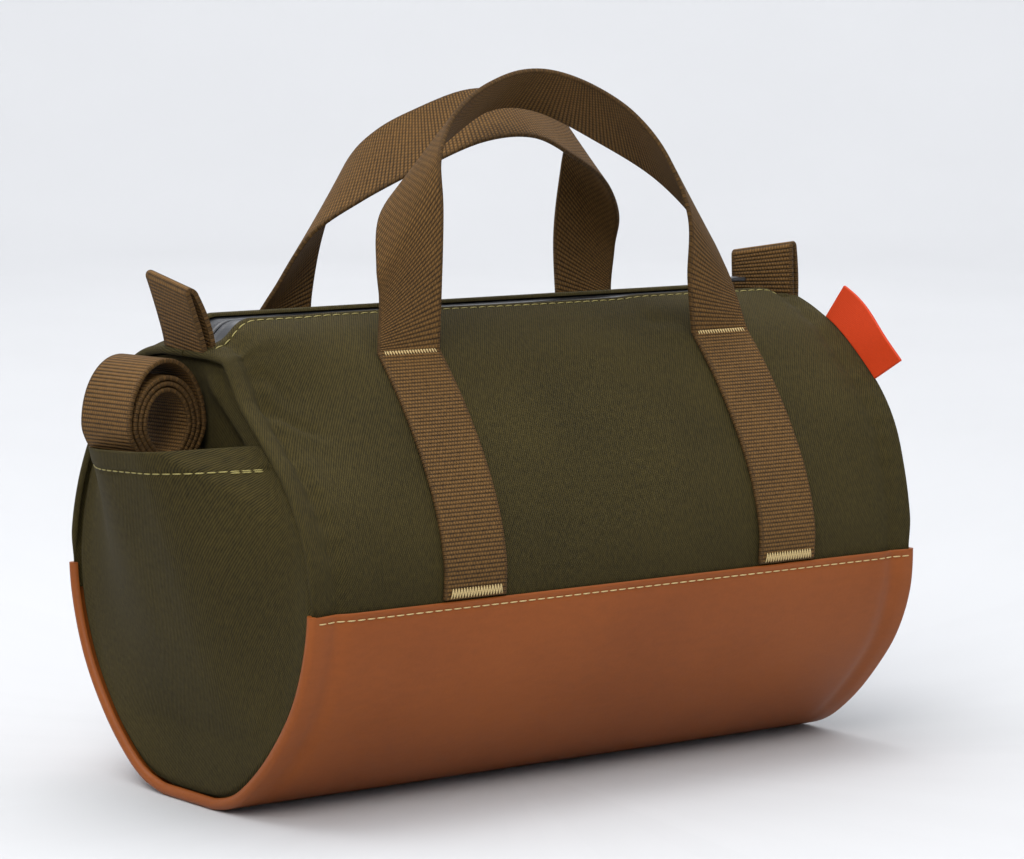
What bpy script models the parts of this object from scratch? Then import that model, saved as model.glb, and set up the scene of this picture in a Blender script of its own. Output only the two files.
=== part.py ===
"""Small barrel handlebar bag: woven fabric body, leather base, webbing handles and tabs.

Metres, +Z up. The bag lies along X with its zip on top, the front faces -Y and the end pocket
is at -X. The origin is on the floor under the middle of the body.
"""
from collections import namedtuple
from math import cos, exp, pi, radians, sin, sqrt

import bmesh
import bpy
import numpy as np
from mathutils import Vector

# Body
BODY_LENGTH = 0.2606
BODY_DEPTH = 0.153
BODY_HEIGHT = 0.163
LEATHER_EDGE = 0.0725
LEATHER_OVERLAP = 0.009
FABRIC = 0.0010
LEATHER = 0.0013
FABRIC_REST = 0.0006
FABRIC_EASE = 0.012
GAP = 0.0003

# Rolled rim round each end
RIM_RADIUS = 0.0030
END_SEAM = 0.0009
VALLEY_AT = 0.0105
VALLEY_DEPTH = 0.0011
VALLEY_WIDTH = 0.0034
VALLEY_FADE = 0.020
BODY_STATIONS = 8
DENT_REACH = 0.050
DROP_REACH = 0.020
HOLLOW_OFF = 0.002
HOLLOW_FADE = 0.011

# Zip
ZIP_OPENING = 0.019
ZIP_LINE = 0.0007
TAPE = 0.0010
TAPE_WIDTH = 0.015
COIL_WIDTH = 0.0056
COIL = 0.0014
COIL_SHORT = 0.0078
SLIDER_AT = 0.101
SLIDER_LENGTH = 0.0095
SLIDER_WIDTH = 0.0084
SLIDER_PLATE = 0.0018
SLIDER_CORNER = 0.0022
BRIDGE_LENGTH = 0.0082
BRIDGE_WIDTH = 0.0022
BRIDGE_RISE = 0.0046
BRIDGE_WALL = 0.0012
BRIDGE_CORNER = 0.0016
BRIDGE_SINK = 0.0004
PULLER_LENGTH = 0.0125
PULLER_WIDTH = 0.0058
PULLER_CORNER = 0.0014
PULLER_EYE = 0.0054
EYE_CORNER = 0.0006
PULLER = 0.0013
RUNNING_GAP = 0.0004

# Webbing
WEBBING_WIDTH = 0.025
WEBBING = 0.0016
HANDLE_SPACING = 0.1343
HANDLE_SHIFT = 0.0020
TACK_HEIGHT = 0.1505
TACK_LIFT = 0.0005
TACK_REACH = 0.0030
LOOP_STEPS = 3
FRONT_RISE = 0.0860
BACK_RISE = 0.0765
TAB_LEFT_HEIGHT = 0.0180
TAB_LEFT_IN = 0.0042
TAB_RIGHT_HEIGHT = 0.0150
TAB_LEFT_SINK = 0.0020
TAB_RIGHT_SINK = 0.0004
TAB_RIGHT_IN = 0.0080
TAB_SLOT = 0.0012
TAB_LEFT_LEAN = -0.0090
TAB_RIGHT_LEAN = 0.0015
TAB_LEFT_ROLL = 8
TAB_RIGHT_TURN = 23
ROLL_WIDTH = 0.0172
ROLL_RISE = 0.0245
ROLL_ABOVE_HEM = 0.0068
ROLL_OUT = 0.0122
ROLL_SIDE = 0.0030
ROLL_TURNS = 3.7
ROLL_STEPS = 18
ROLL_START = -50
ROLL_TURN = 8
ROLL_PITCH = 0.00205

# End pocket, and the hollow that the roll presses into the panel behind it
PANEL_DENT = 0.0032
PANEL_DENT_FROM = 0.085
PANEL_DENT_FADE = 0.020
POCKET_HEM = 0.1200
POCKET_HEM_RISE = 0.0045
POCKET_EASE = 0.0019
POCKET_FLAT = 0.017
POCKET_FADE = 0.040
POCKET_FOOT = 0.025
POCKET_MARGIN = 0.0022
POCKET_START = 0.010

# Label
LABEL_LENGTH = 0.034
LABEL_RISE = 0.0145
LABEL = 0.0011
LABEL_DROP = 0.0165
LABEL_WAVE = 0.0008
LABEL_LOW_END_WAY = (0.10, -0.86, 0.52)
LABEL_HIGH_END_WAY = (0.10, -0.57, 0.82)

HALF_LENGTH = BODY_LENGTH / 2
HALF_DEPTH = BODY_DEPTH / 2
FRONT, BACK = -1, 1
LEFT, RIGHT = -1, 1

# Section from the floor up to the zip: shares of half the depth and of the height. The next
# columns say how far each end is drawn in from the middle, and how far its top drops.
Row = namedtuple("Row", "depth rise front_left_in back_left_in right_in left_drop right_drop")
SECTION = (
    Row(0.000, 0.000, 0.000, 0.000, 0.000, 0.000, 0.000),
    Row(0.200, 0.000, 0.000, 0.000, 0.000, 0.000, 0.000),
    Row(0.400, 0.024, 0.010, 0.000, 0.000, 0.000, 0.000),
    Row(0.585, 0.083, 0.012, 0.000, 0.000, 0.000, 0.000),
    Row(0.750, 0.160, 0.012, 0.004, 0.000, 0.000, 0.000),
    Row(0.880, 0.247, 0.006, 0.006, -0.012, 0.000, 0.000),
    Row(0.965, 0.345, 0.004, 0.006, -0.014, 0.000, 0.000),
    Row(1.000, 0.442, 0.000, 0.004, 0.000, 0.000, 0.000),
    Row(0.985, 0.540, 0.000, 0.008, 0.004, 0.000, 0.000),
    Row(0.927, 0.632, 0.020, 0.010, -0.012, 0.000, 0.000),
    Row(0.840, 0.714, 0.060, 0.012, -0.040, 0.000, 0.000),
    Row(0.745, 0.785, 0.130, 0.020, -0.040, 0.000, 0.000),
    Row(0.640, 0.851, 0.175, 0.050, -0.010, 0.004, 0.002),
    Row(0.505, 0.921, 0.130, 0.060, 0.030, 0.016, 0.008),
    Row(0.350, 0.970, 0.030, 0.030, 0.040, 0.040, 0.016),
    Row(0.190, 0.998, 0.000, 0.000, 0.000, 0.060, 0.022),
    Row(0.130, 1.000, 0.000, 0.000, 0.000, 0.062, 0.020),
    Row(0.000, 0.998, 0.000, 0.000, 0.000, 0.060, 0.016),
)
TOP = len(SECTION) - 1
LEATHER_STATIONS = (0.0, 1.0, 1.5, 2.2, 3.0, 3.8, 4.6, 5.5)
END_STATIONS = (0.8, TOP - 1.2)
FABRIC_ROWS = 12
SMOOTH_ANGLE = 40

# Soft hollows in the front: place as shares of half the length and of the height, size in metres
Hollow = namedtuple("Hollow", "along rise reach_along reach_rise depth")
HOLLOWS = (
    Hollow(-0.86, 0.80, 0.016, 0.011, 0.0032),
    Hollow(-0.70, 0.90, 0.020, 0.008, 0.0016),
    Hollow(0.22, 0.965, 0.045, 0.006, 0.0010),
)

# Free loops of the handles, as straight lines across the webbing from its inner selvedge to its
# outer one. Each end is given along the bag from between the feet (share of half the spacing),
# out from the zip (share of the foot's distance) and up from the tack (share of the loop's rise).
Ruling = namedtuple("Ruling", "in_along in_out in_up out_along out_out out_up")
FRONT_LOOP = (
    Ruling(-0.828, 1.100, 0.519, -1.140, 0.905, 0.200),
    Ruling(-0.803, 1.011, 0.740, -1.130, 0.850, 0.313),
    Ruling(-0.669, 0.837, 0.875, -1.019, 0.621, 0.504),
    Ruling(-0.504, 0.713, 0.965, -0.743, 0.405, 0.659),
    Ruling(-0.323, 0.638, 1.027, -0.424, 0.214, 0.799),
    Ruling(-0.116, 0.602, 1.067, -0.106, 0.084, 0.908),
    Ruling(0.088, 0.622, 1.061, 0.187, 0.115, 0.898),
    Ruling(0.306, 0.707, 1.000, 0.516, 0.291, 0.768),
    Ruling(0.492, 0.850, 0.892, 0.808, 0.501, 0.615),
    Ruling(0.627, 1.011, 0.727, 1.010, 0.714, 0.424),
    Ruling(0.725, 1.135, 0.484, 1.108, 0.845, 0.248),
    Ruling(0.758, 1.063, 0.226, 1.156, 0.919, 0.124),
)
BACK_LOOP = (
    Ruling(-0.792, 1.010, 0.199, -1.162, 0.921, 0.094),
    Ruling(-0.727, 0.990, 0.473, -1.114, 0.777, 0.212),
    Ruling(-0.628, 0.856, 0.768, -0.978, 0.560, 0.455),
    Ruling(-0.507, 0.685, 0.922, -0.758, 0.345, 0.608),
    Ruling(-0.294, 0.551, 1.024, -0.444, 0.157, 0.753),
    Ruling(-0.039, 0.467, 1.099, -0.110, 0.006, 0.874),
    Ruling(0.219, 0.494, 1.098, 0.230, 0.019, 0.888),
    Ruling(0.471, 0.601, 1.043, 0.574, 0.213, 0.786),
    Ruling(0.679, 0.718, 0.980, 0.899, 0.457, 0.654),
    Ruling(0.822, 0.877, 0.891, 1.133, 0.763, 0.484),
    Ruling(0.870, 1.067, 0.721, 1.210, 0.981, 0.329),
    Ruling(0.851, 1.133, 0.388, 1.202, 1.026, 0.160),
)

# Colour as linear RGB, roughness and metallic value
Finish = namedtuple("Finish", "colour roughness metallic")
WOVEN_FABRIC = Finish((0.070, 0.065, 0.022), 0.85, 0.0)
LEATHER_TAN = Finish((0.290, 0.098, 0.030), 0.50, 0.0)
NYLON_WEBBING = Finish((0.150, 0.072, 0.026), 0.75, 0.0)
COATED_TAPE = Finish((0.020, 0.024, 0.032), 0.35, 0.0)
BLACK_METAL = Finish((0.012, 0.012, 0.013), 0.35, 1.0)
LABEL_RIBBON = Finish((0.800, 0.060, 0.008), 0.60, 0.0)


def ease(value):
    """Smooth step from 0 to 1."""
    t = min(max(value, 0.0), 1.0)
    return t * t * (3 - 2 * t)


def spline(rows, place):
    """Catmull-Rom value at a fractional row number of a table."""
    count = len(rows)
    place = min(max(place, 0.0), count - 1.0)
    first = min(int(place), count - 2)
    t = place - first
    b, c = np.array(rows[first], float), np.array(rows[first + 1], float)
    a = np.array(rows[first - 1], float) if first else 2 * b - c
    d = np.array(rows[first + 2], float) if first + 2 < count else 2 * c - b
    return 0.5 * (2 * b + (c - a) * t + (2 * a - 5 * b + 4 * c - d) * t * t
                  + (3 * b - a - 3 * c + d) * t ** 3)


def section(x, station):
    """Outer skin at x as (y, z). A station is a row of SECTION, below zero on the front."""
    side = FRONT if station < 0 else BACK
    row = Row(*spline(SECTION, abs(station)))
    left = ease(1 - (x + HALF_LENGTH) / DENT_REACH)
    right = ease(1 - (HALF_LENGTH - x) / DENT_REACH)
    left_top = ease(1 - (x + HALF_LENGTH) / DROP_REACH)
    right_top = ease(1 - (HALF_LENGTH - x) / DROP_REACH)
    left_in = row.front_left_in if side == FRONT else row.back_left_in
    depth = row.depth - left * left_in - right * row.right_in
    rise = row.rise - left_top * row.left_drop - right_top * row.right_drop
    return np.array((side * depth * HALF_DEPTH, max(rise, 0.0) * BODY_HEIGHT))


def normal(x, station):
    """Outward direction of the skin in the plane across X."""
    step = 0.05
    low = max(station - step, -float(TOP))
    high = min(station + step, float(TOP))
    along = section(x, high) - section(x, low)
    out = np.array((along[1], -along[0]))
    return out / np.linalg.norm(out)


def hollow_depth(x, station):
    """How far the soft hollows draw the front skin in."""
    if station > 0:
        return 0.0
    z = section(x, station)[1]
    total = 0.0
    strap = abs(abs(x - HANDLE_SHIFT) - HANDLE_SPACING / 2) - WEBBING_WIDTH / 2
    end = HALF_LENGTH - abs(x) - 2 * RIM_RADIUS
    free = ease((strap - HOLLOW_OFF) / HOLLOW_FADE) * ease(end / HOLLOW_FADE)
    for dent in HOLLOWS:
        far = (x - dent.along * HALF_LENGTH) / dent.reach_along
        high = (z - dent.rise * BODY_HEIGHT) / dent.reach_rise
        total += free * dent.depth * exp(-(far * far + high * high) / 2)
    return total


def valley(x):
    """Shallow channel just inside each rolled rim."""
    end = HALF_LENGTH - abs(x)
    return VALLEY_DEPTH * exp(-((end - VALLEY_AT) / VALLEY_WIDTH) ** 2)


def skin(x, station, inset=0.0, channels=True):
    """Point below the outer skin by inset."""
    y, z = section(x, station)
    out_y, out_z = normal(x, station)
    depth = inset
    if channels:
        lift = ease((z - RIM_RADIUS) / VALLEY_FADE)
        depth += valley(x) * lift + hollow_depth(x, station)
    return Vector((x, y - out_y * depth, z - out_z * depth))


def station_at_height(height):
    """Row number where the middle section reaches a height."""
    places = np.linspace(1.0, TOP - 1.0, 321)
    heights = [spline(SECTION, p)[1] * BODY_HEIGHT for p in places]
    return float(np.interp(height, heights, places))


def station_at_depth(depth):
    """Row number near the top where the section comes in to a distance from the middle."""
    places = np.linspace(TOP, TOP - 6.0, 241)
    depths = [spline(SECTION, p)[0] * HALF_DEPTH for p in places]
    return float(np.interp(depth, depths, places))


def rim_path(inset):
    """Places (x, extra inset) from one end's inner lip over the body to the other's."""
    turns = [radians(a) for a in (180, 150, 120, 90, 60, 30, 0)]
    radius = RIM_RADIUS - inset
    lip = [(RIM_RADIUS - radius * sin(a), RIM_RADIUS - radius * cos(a)) for a in turns]
    shoulder = [VALLEY_AT + share * VALLEY_WIDTH for share in (-1.25, -0.35, 0.75, 2.2)]
    left = [(-HALF_LENGTH + far, deep) for far, deep in lip]
    left += [(-HALF_LENGTH + far, inset) for far in shoulder]
    inner = HALF_LENGTH - shoulder[-1]
    middle = np.linspace(-inner, inner, BODY_STATIONS + 2)[1:-1]
    path = left + [(x, inset) for x in middle]
    return path + [(-x, deep) for x, deep in reversed(left)]


def add_object(name, shell, finish):
    """Object with its own material from a bmesh, which is freed."""
    bmesh.ops.recalc_face_normals(shell, faces=shell.faces)
    mesh = bpy.data.meshes.new(name)
    shell.to_mesh(mesh)
    shell.free()
    mesh.shade_smooth()
    mesh.set_sharp_from_angle(angle=radians(SMOOTH_ANGLE))
    obj = bpy.data.objects.new(name, mesh)
    bpy.context.scene.collection.objects.link(obj)
    material = bpy.data.materials.new(name)
    material.use_nodes = True
    shader = material.node_tree.nodes["Principled BSDF"]
    shader.inputs["Base Color"].default_value = (*finish.colour, 1.0)
    shader.inputs["Roughness"].default_value = finish.roughness
    shader.inputs["Metallic"].default_value = finish.metallic
    mesh.materials.append(material)
    return obj


def add_solid(name, points, faces, finish):
    """Object from a list of points and the faces between them."""
    shell = bmesh.new()
    verts = [shell.verts.new(point) for point in points]
    for face in faces:
        shell.faces.new([verts[i] for i in face])
    return add_object(name, shell, finish)


def closed_sheet(name, outer, inner, finish):
    """Wall between two grids of points of the same size, the outer one facing out."""
    rows, columns = len(outer), len(outer[0])
    points = [p for row in outer for p in row] + [p for row in inner for p in row]
    base = rows * columns

    def number(r, c, layer=0):
        return layer * base + r * columns + c

    faces = []
    for r in range(rows - 1):
        for c in range(columns - 1):
            quad = (number(r, c), number(r + 1, c), number(r + 1, c + 1), number(r, c + 1))
            faces.append(quad)
            faces.append(tuple(base + i for i in reversed(quad)))
    for r in range(rows - 1):
        for c, step in ((0, 1), (columns - 1, -1)):
            quad = (number(r, c), number(r, c, 1), number(r + 1, c, 1), number(r + 1, c))
            faces.append(quad if step == 1 else tuple(reversed(quad)))
    for c in range(columns - 1):
        for r, step in ((0, -1), (rows - 1, 1)):
            quad = (number(r, c), number(r, c, 1), number(r, c + 1, 1), number(r, c + 1))
            faces.append(quad if step == 1 else tuple(reversed(quad)))
    return add_solid(name, points, faces, finish)


def fabric_inset(station):
    """Depth of the fabric's outer face: under the leather below its edge, near flush above."""
    height = spline(SECTION, abs(station))[1] * BODY_HEIGHT
    under = LEATHER + GAP
    return FABRIC_REST + (under - FABRIC_REST) * (1 - ease((height - LEATHER_EDGE) / FABRIC_EASE))


def panel(name, stations, outer_inset, thickness, finish):
    """One wrapped panel of the body, with both ends rolled in round the rims."""
    outer, inner = [], []
    for station in stations:
        top = outer_inset(station)
        outer.append([skin(x, station, deep) for x, deep in rim_path(top)])
        inner.append([skin(x, station, deep) for x, deep in rim_path(top + thickness)])
    return closed_sheet(name, outer, inner, finish)


def fabric_stations():
    """Rows of a fabric panel from under the leather up to its fold along the zip."""
    tucked = station_at_height(LEATHER_EDGE - LEATHER_OVERLAP)
    leather_top = station_at_height(LEATHER_EDGE)
    above = station_at_height(LEATHER_EDGE + FABRIC_EASE)
    fold = station_at_depth(ZIP_OPENING / 2)
    stations = [tucked, leather_top, (leather_top + above) / 2]
    return stations + list(np.linspace(above, fold, FABRIC_ROWS))


def body_panels():
    """Leather base and the two fabric panels above it."""
    leather_top = station_at_height(LEATHER_EDGE)
    tucked = station_at_height(LEATHER_EDGE - LEATHER_OVERLAP)
    half = [*LEATHER_STATIONS, tucked, leather_top]
    stations = [-k for k in reversed(half)] + half[1:]
    panel("base_panel", stations, lambda s: 0.0, LEATHER, LEATHER_TAN)
    rise = fabric_stations()
    panel("front_panel", [-k for k in reversed(rise)], fabric_inset, FABRIC, WOVEN_FABRIC)
    panel("back_panel", rise, fabric_inset, FABRIC, WOVEN_FABRIC)


def zip_tapes():
    """The two coated tapes between the folded edges, and the coil under their meeting line."""
    inset = FABRIC_REST + FABRIC + GAP
    near = station_at_depth(ZIP_LINE / 2)
    far = station_at_depth(TAPE_WIDTH)
    across = list(np.linspace(far, near, 5))
    panel("zip_tape_back", across, lambda s: inset, TAPE, COATED_TAPE)
    panel("zip_tape_front", [-k for k in reversed(across)], lambda s: inset, TAPE, COATED_TAPE)
    ends = HALF_LENGTH - COIL_SHORT
    top = inset + TAPE + 3 * GAP
    outer, inner = [], []
    for side in (FRONT, BACK):
        station = side * station_at_depth(COIL_WIDTH / 2)
        outer.append([skin(x, station, top) for x in np.linspace(-ends, ends, 9)])
        inner.append([skin(x, station, top + COIL) for x in np.linspace(-ends, ends, 9)])
    closed_sheet("zip_coil", outer, inner, COATED_TAPE)


def end_outline(side, inset):
    """Curves that give the end opening's y at a height, for the front and the back."""
    x = side * HALF_LENGTH
    stations = np.linspace(*END_STATIONS, 60)
    curves = {}
    for face in (FRONT, BACK):
        points = [skin(x, face * k, inset, channels=False) for k in stations]
        heights = [p.z for p in points]
        depths = [p.y for p in points]
        curves[face] = (heights, depths)
    low = max(min(curves[f][0]) for f in curves)
    high = min(max(curves[f][0]) for f in curves)
    return curves, low, high


def end_sheet(name, side, inset, low_cut, high_cut, x_face, thickness, rows, columns, finish):
    """Sheet across an end: x_face(y, z, share) gives its outer face, measured inwards."""
    curves, low, high = end_outline(side, inset)
    low = low + low_cut
    outer, inner = [], []
    for row in range(rows + 1):
        share = row / rows
        level = low + (high - low) * (1 - cos(pi * share)) / 2 if high_cut is None else 0.0
        line_out, line_in = [], []
        for column in range(columns + 1):
            across = (1 - cos(pi * column / columns)) / 2
            if high_cut is not None:
                level = low + (high_cut(across) - low) * sin(pi / 2 * share)
            y_front = np.interp(level, *curves[FRONT])
            y_back = np.interp(level, *curves[BACK])
            y = y_front + (y_back - y_front) * across
            depth = x_face(y, level)
            line_out.append(Vector((side * (HALF_LENGTH - depth), y, level)))
            line_in.append(Vector((side * (HALF_LENGTH - depth - thickness), y, level)))
        outer.append(line_out)
        inner.append(line_in)
    return closed_sheet(name, outer, inner, finish)


def ends_and_pocket():
    """Flat end panels seated behind the rims, and the bulging pocket on the left one."""
    seat = RIM_RADIUS + GAP
    hidden = LEATHER + FABRIC + 2 * GAP + END_SEAM

    def flat(depth):
        return lambda y, z: depth

    end_sheet("end_panel_right", RIGHT, hidden, 0.0, None, flat(seat), FABRIC, 16, 8, WOVEN_FABRIC)
    deeper = seat + FABRIC + GAP
    curves, low, high = end_outline(LEFT, hidden)

    def hem(across):
        return POCKET_HEM + POCKET_HEM_RISE * (1 - across) ** 2

    def room_beside(face, y, z):
        here, above = (np.interp(z + step, *curves[face]) for step in (0.0, GAP))
        slant = (above - here) / GAP
        return abs(y - here) / sqrt(1 + slant * slant) - (2 * RIM_RADIUS + POCKET_MARGIN - hidden)

    def dented(y, z):
        room = min(room_beside(FRONT, y, z), room_beside(BACK, y, z), (high - z) / 2)
        rise = ease((z - PANEL_DENT_FROM) / PANEL_DENT_FADE)
        return deeper + PANEL_DENT * ease(room / POCKET_START) * rise

    def bulged(y, z):
        room = min(room_beside(FRONT, y, z), room_beside(BACK, y, z))
        grow = max((z - POCKET_FOOT) / (POCKET_HEM - POCKET_FOOT), 0.0)
        far = min(max(abs(y) - POCKET_FLAT, 0.0) / POCKET_FADE, 1.0)
        swell = cos(pi / 2 * far) ** 2
        bulge = seat + ROLL_OUT + ROLL_WIDTH + POCKET_EASE
        return seat - bulge * grow * swell * ease(room / POCKET_START)

    end_sheet("end_panel_left", LEFT, hidden, 0.0, None, dented, FABRIC, 18, 14, WOVEN_FABRIC)
    end_sheet("end_pocket", LEFT, hidden, 0.0, hem, bulged, FABRIC, 13, 20, WOVEN_FABRIC)


def strip(name, inner, outer, thickness, finish):
    """Webbing between two selvedges, given as lists of points at the ends of straight lines."""
    count = len(inner)
    points = []
    for i in range(count):
        low, high = max(i - 1, 0), min(i + 1, count - 1)
        ahead = inner[high] + outer[high] - inner[low] - outer[low]
        lift = (outer[i] - inner[i]).cross(ahead).normalized() * (thickness / 2)
        points += [inner[i] - lift, outer[i] - lift, outer[i] + lift, inner[i] + lift]
    faces = [(3, 2, 1, 0), tuple(range(4 * count - 4, 4 * count))]
    for i in range(count - 1):
        for k in range(4):
            a, b = 4 * i + k, 4 * i + (k + 1) % 4
            faces.append((a, b, b + 4, a + 4))
    return add_solid(name, points, faces, finish)


def webbing(name, centres, across):
    """Webbing strap through centre points, its width along one direction."""
    count = len(centres)
    inner, outer = [], []
    for i in range(count):
        ahead = (centres[min(i + 1, count - 1)] - centres[max(i - 1, 0)]).normalized()
        half = (across - ahead * across.dot(ahead)).normalized() * (WEBBING_WIDTH / 2)
        inner.append(centres[i] - half)
        outer.append(centres[i] + half)
    return strip(name, inner, outer, WEBBING, NYLON_WEBBING)


def handle(name, side, rise, table):
    """One webbing strap: up a panel, over in a loop and down again, sewn flat on its feet."""
    lift = GAP + WEBBING / 2
    low = station_at_height(LEATHER_EDGE + 2 * GAP)
    tack = station_at_height(TACK_HEIGHT)
    short = station_at_height(TACK_HEIGHT - TACK_REACH)
    stations = [low] + [k for k in fabric_stations() if low < k < short]
    half = Vector((WEBBING_WIDTH / 2, 0, 0))
    feet = {}
    for end in (LEFT, RIGHT):
        x = end * HANDLE_SPACING / 2 + HANDLE_SHIFT
        feet[end] = [skin(x, side * k, fabric_inset(k) - lift) for k in stations]
        feet[end].append(skin(x, side * tack, fabric_inset(tack) - lift - TACK_LIFT))
    top = feet[LEFT][-1]
    rows = []
    for line in table:
        row = []
        for along, out, up in (line[:3], line[3:]):
            row += [along * HANDLE_SPACING / 2 + HANDLE_SHIFT, out * top.y, top.z + up * rise]
        rows.append(row)
    ends = [[*(feet[end][-1] - end * half), *(feet[end][-1] + end * half)] for end in (LEFT, RIGHT)]
    rows = ends[:1] + rows + ends[1:]
    inner = [p + half for p in feet[LEFT][:-1]]
    outer = [p - half for p in feet[LEFT][:-1]]
    steps = LOOP_STEPS * (len(rows) - 1)
    for i in range(steps + 1):
        value = spline(rows, i / LOOP_STEPS)
        inner.append(Vector(value[:3]))
        outer.append(Vector(value[3:]))
    inner += [p - half for p in reversed(feet[RIGHT][:-1])]
    outer += [p + half for p in reversed(feet[RIGHT][:-1])]
    return strip(name, inner, outer, WEBBING, NYLON_WEBBING)


def hairpin(name, foot, height, lean, turn, roll):
    """Doubled webbing tab: a hairpin of strap that stands on its two cut ends."""
    radius = TAB_SLOT / 2 + WEBBING / 2
    straight = height - radius - WEBBING / 2
    levels = [straight * share for share in (0, 1 / 3, 2 / 3, 1)]
    bend = [radians(angle) for angle in range(30, 180, 30)]
    outline = [(-radius, level) for level in levels]
    outline += [(-radius * cos(angle), straight + radius * sin(angle)) for angle in bend]
    outline += [(radius, level) for level in reversed(levels)]
    across = Vector((-sin(turn), cos(turn), sin(roll)))
    forward = Vector((cos(turn), sin(turn), 0))
    centres = []
    for far, high in outline:
        bow = lean * high / height
        centres.append(foot + forward * (far + bow) + Vector((0, 0, high)))
    return webbing(name, centres, across)


def tabs():
    """Tabs at the two ends of the zip."""
    top = np.linspace(station_at_depth(WEBBING_WIDTH / 2), TOP, 9)

    def footing(x, reach, roll):
        rows = [side * row for side in (FRONT, BACK) for row in top]
        spread = np.linspace(x - reach, x + reach, 9)
        under = [skin(place, row, FABRIC_REST) for place in spread for row in rows]
        return max(p.z - p.y * sin(roll) for p in under) + GAP

    thick = TAB_SLOT / 2 + WEBBING
    roll = radians(TAB_LEFT_ROLL)
    x = -HALF_LENGTH + TAB_LEFT_IN
    foot = Vector((x, 0.0, footing(x, thick, roll) - TAB_LEFT_SINK))
    hairpin("tab_left", foot, TAB_LEFT_HEIGHT, TAB_LEFT_LEAN, 0.0, roll)
    turn = radians(TAB_RIGHT_TURN)
    x = HALF_LENGTH - TAB_RIGHT_IN
    foot = Vector((x, 0.0, footing(x, thick + WEBBING_WIDTH / 2 * sin(turn), 0.0) - TAB_RIGHT_SINK))
    hairpin("tab_right", foot, TAB_RIGHT_HEIGHT, TAB_RIGHT_LEAN, turn, 0.0)


def strap_roll():
    """Spare strap wound into an oval spiral, standing in the end pocket."""
    centre = Vector((-HALF_LENGTH - ROLL_OUT, ROLL_SIDE, POCKET_HEM + ROLL_ABOVE_HEM))
    inner = ROLL_WIDTH - WEBBING / 2 - ROLL_PITCH * ROLL_TURNS
    stretch = ROLL_RISE - ROLL_WIDTH
    steps = int(ROLL_TURNS * ROLL_STEPS)
    yaw = radians(ROLL_TURN)
    along = Vector((cos(yaw), sin(yaw), 0))
    centres = []
    for i in range(steps + 1):
        angle = 2 * pi * ROLL_TURNS * i / steps
        radius = inner + ROLL_PITCH * angle / (2 * pi)
        turn = radians(ROLL_START) - angle
        rise = Vector((0, 0, (radius + stretch) * sin(turn)))
        centres.append(centre + along * (radius * cos(turn)) + rise)
    return webbing("strap_roll", centres, Vector((-sin(yaw), cos(yaw), 0)))


def label():
    """Folded ribbon label standing out of the right end's front seam."""
    x = HALF_LENGTH - RIM_RADIUS
    middle = -station_at_height(BODY_HEIGHT - LABEL_DROP)
    span = [skin(x, middle + k, FABRIC_REST - GAP) for k in np.linspace(-2.6, 2.6, 53)]
    lengths = [0.0]
    for a, b in zip(span, span[1:]):
        lengths.append(lengths[-1] + (b - a).length)
    start = (lengths[-1] - LABEL_LENGTH) / 2
    high_end, low_end = Vector(LABEL_HIGH_END_WAY), Vector(LABEL_LOW_END_WAY)
    front, back = [], []
    for rise in np.linspace(0, 1, 4):
        line = []
        for share in np.linspace(0, 1, 9):
            far = start + LABEL_LENGTH * share
            place = [np.interp(far, lengths, [p[axis] for p in span]) for axis in range(3)]
            out = high_end.lerp(low_end, share).normalized() * (LABEL_RISE * rise)
            wave = LABEL_WAVE * sin(2 * pi * share) * rise
            line.append(Vector(place) + out + Vector((wave, 0, 0)))
        front.append([p + Vector((-LABEL / 2, 0, 0)) for p in line])
        back.append([p + Vector((LABEL / 2, 0, 0)) for p in line])
    return closed_sheet("label", front, back, LABEL_RIBBON)


def block(name, centre, size, corner, axis):
    """Metal box, with the four edges along one axis rounded."""
    shell = bmesh.new()
    bmesh.ops.create_cube(shell, size=1.0)
    bmesh.ops.scale(shell, vec=size, verts=shell.verts)
    edges = []
    for edge in shell.edges:
        along = edge.verts[1].co - edge.verts[0].co
        if abs(along[axis]) > along.length / 2:
            edges.append(edge)
    bmesh.ops.bevel(shell, geom=edges, offset=corner, segments=3, profile=0.5, affect="EDGES")
    bmesh.ops.translate(shell, vec=centre, verts=shell.verts)
    return add_object(name, shell, BLACK_METAL)


def combine(first, second, operation):
    """Boolean of two closed solids into the first. The second stays as a hidden helper."""
    modifier = first.modifiers.new(second.name, "BOOLEAN")
    modifier.operation = operation
    modifier.object = second
    second.hide_render = True
    second.display_type = "WIRE"


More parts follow.
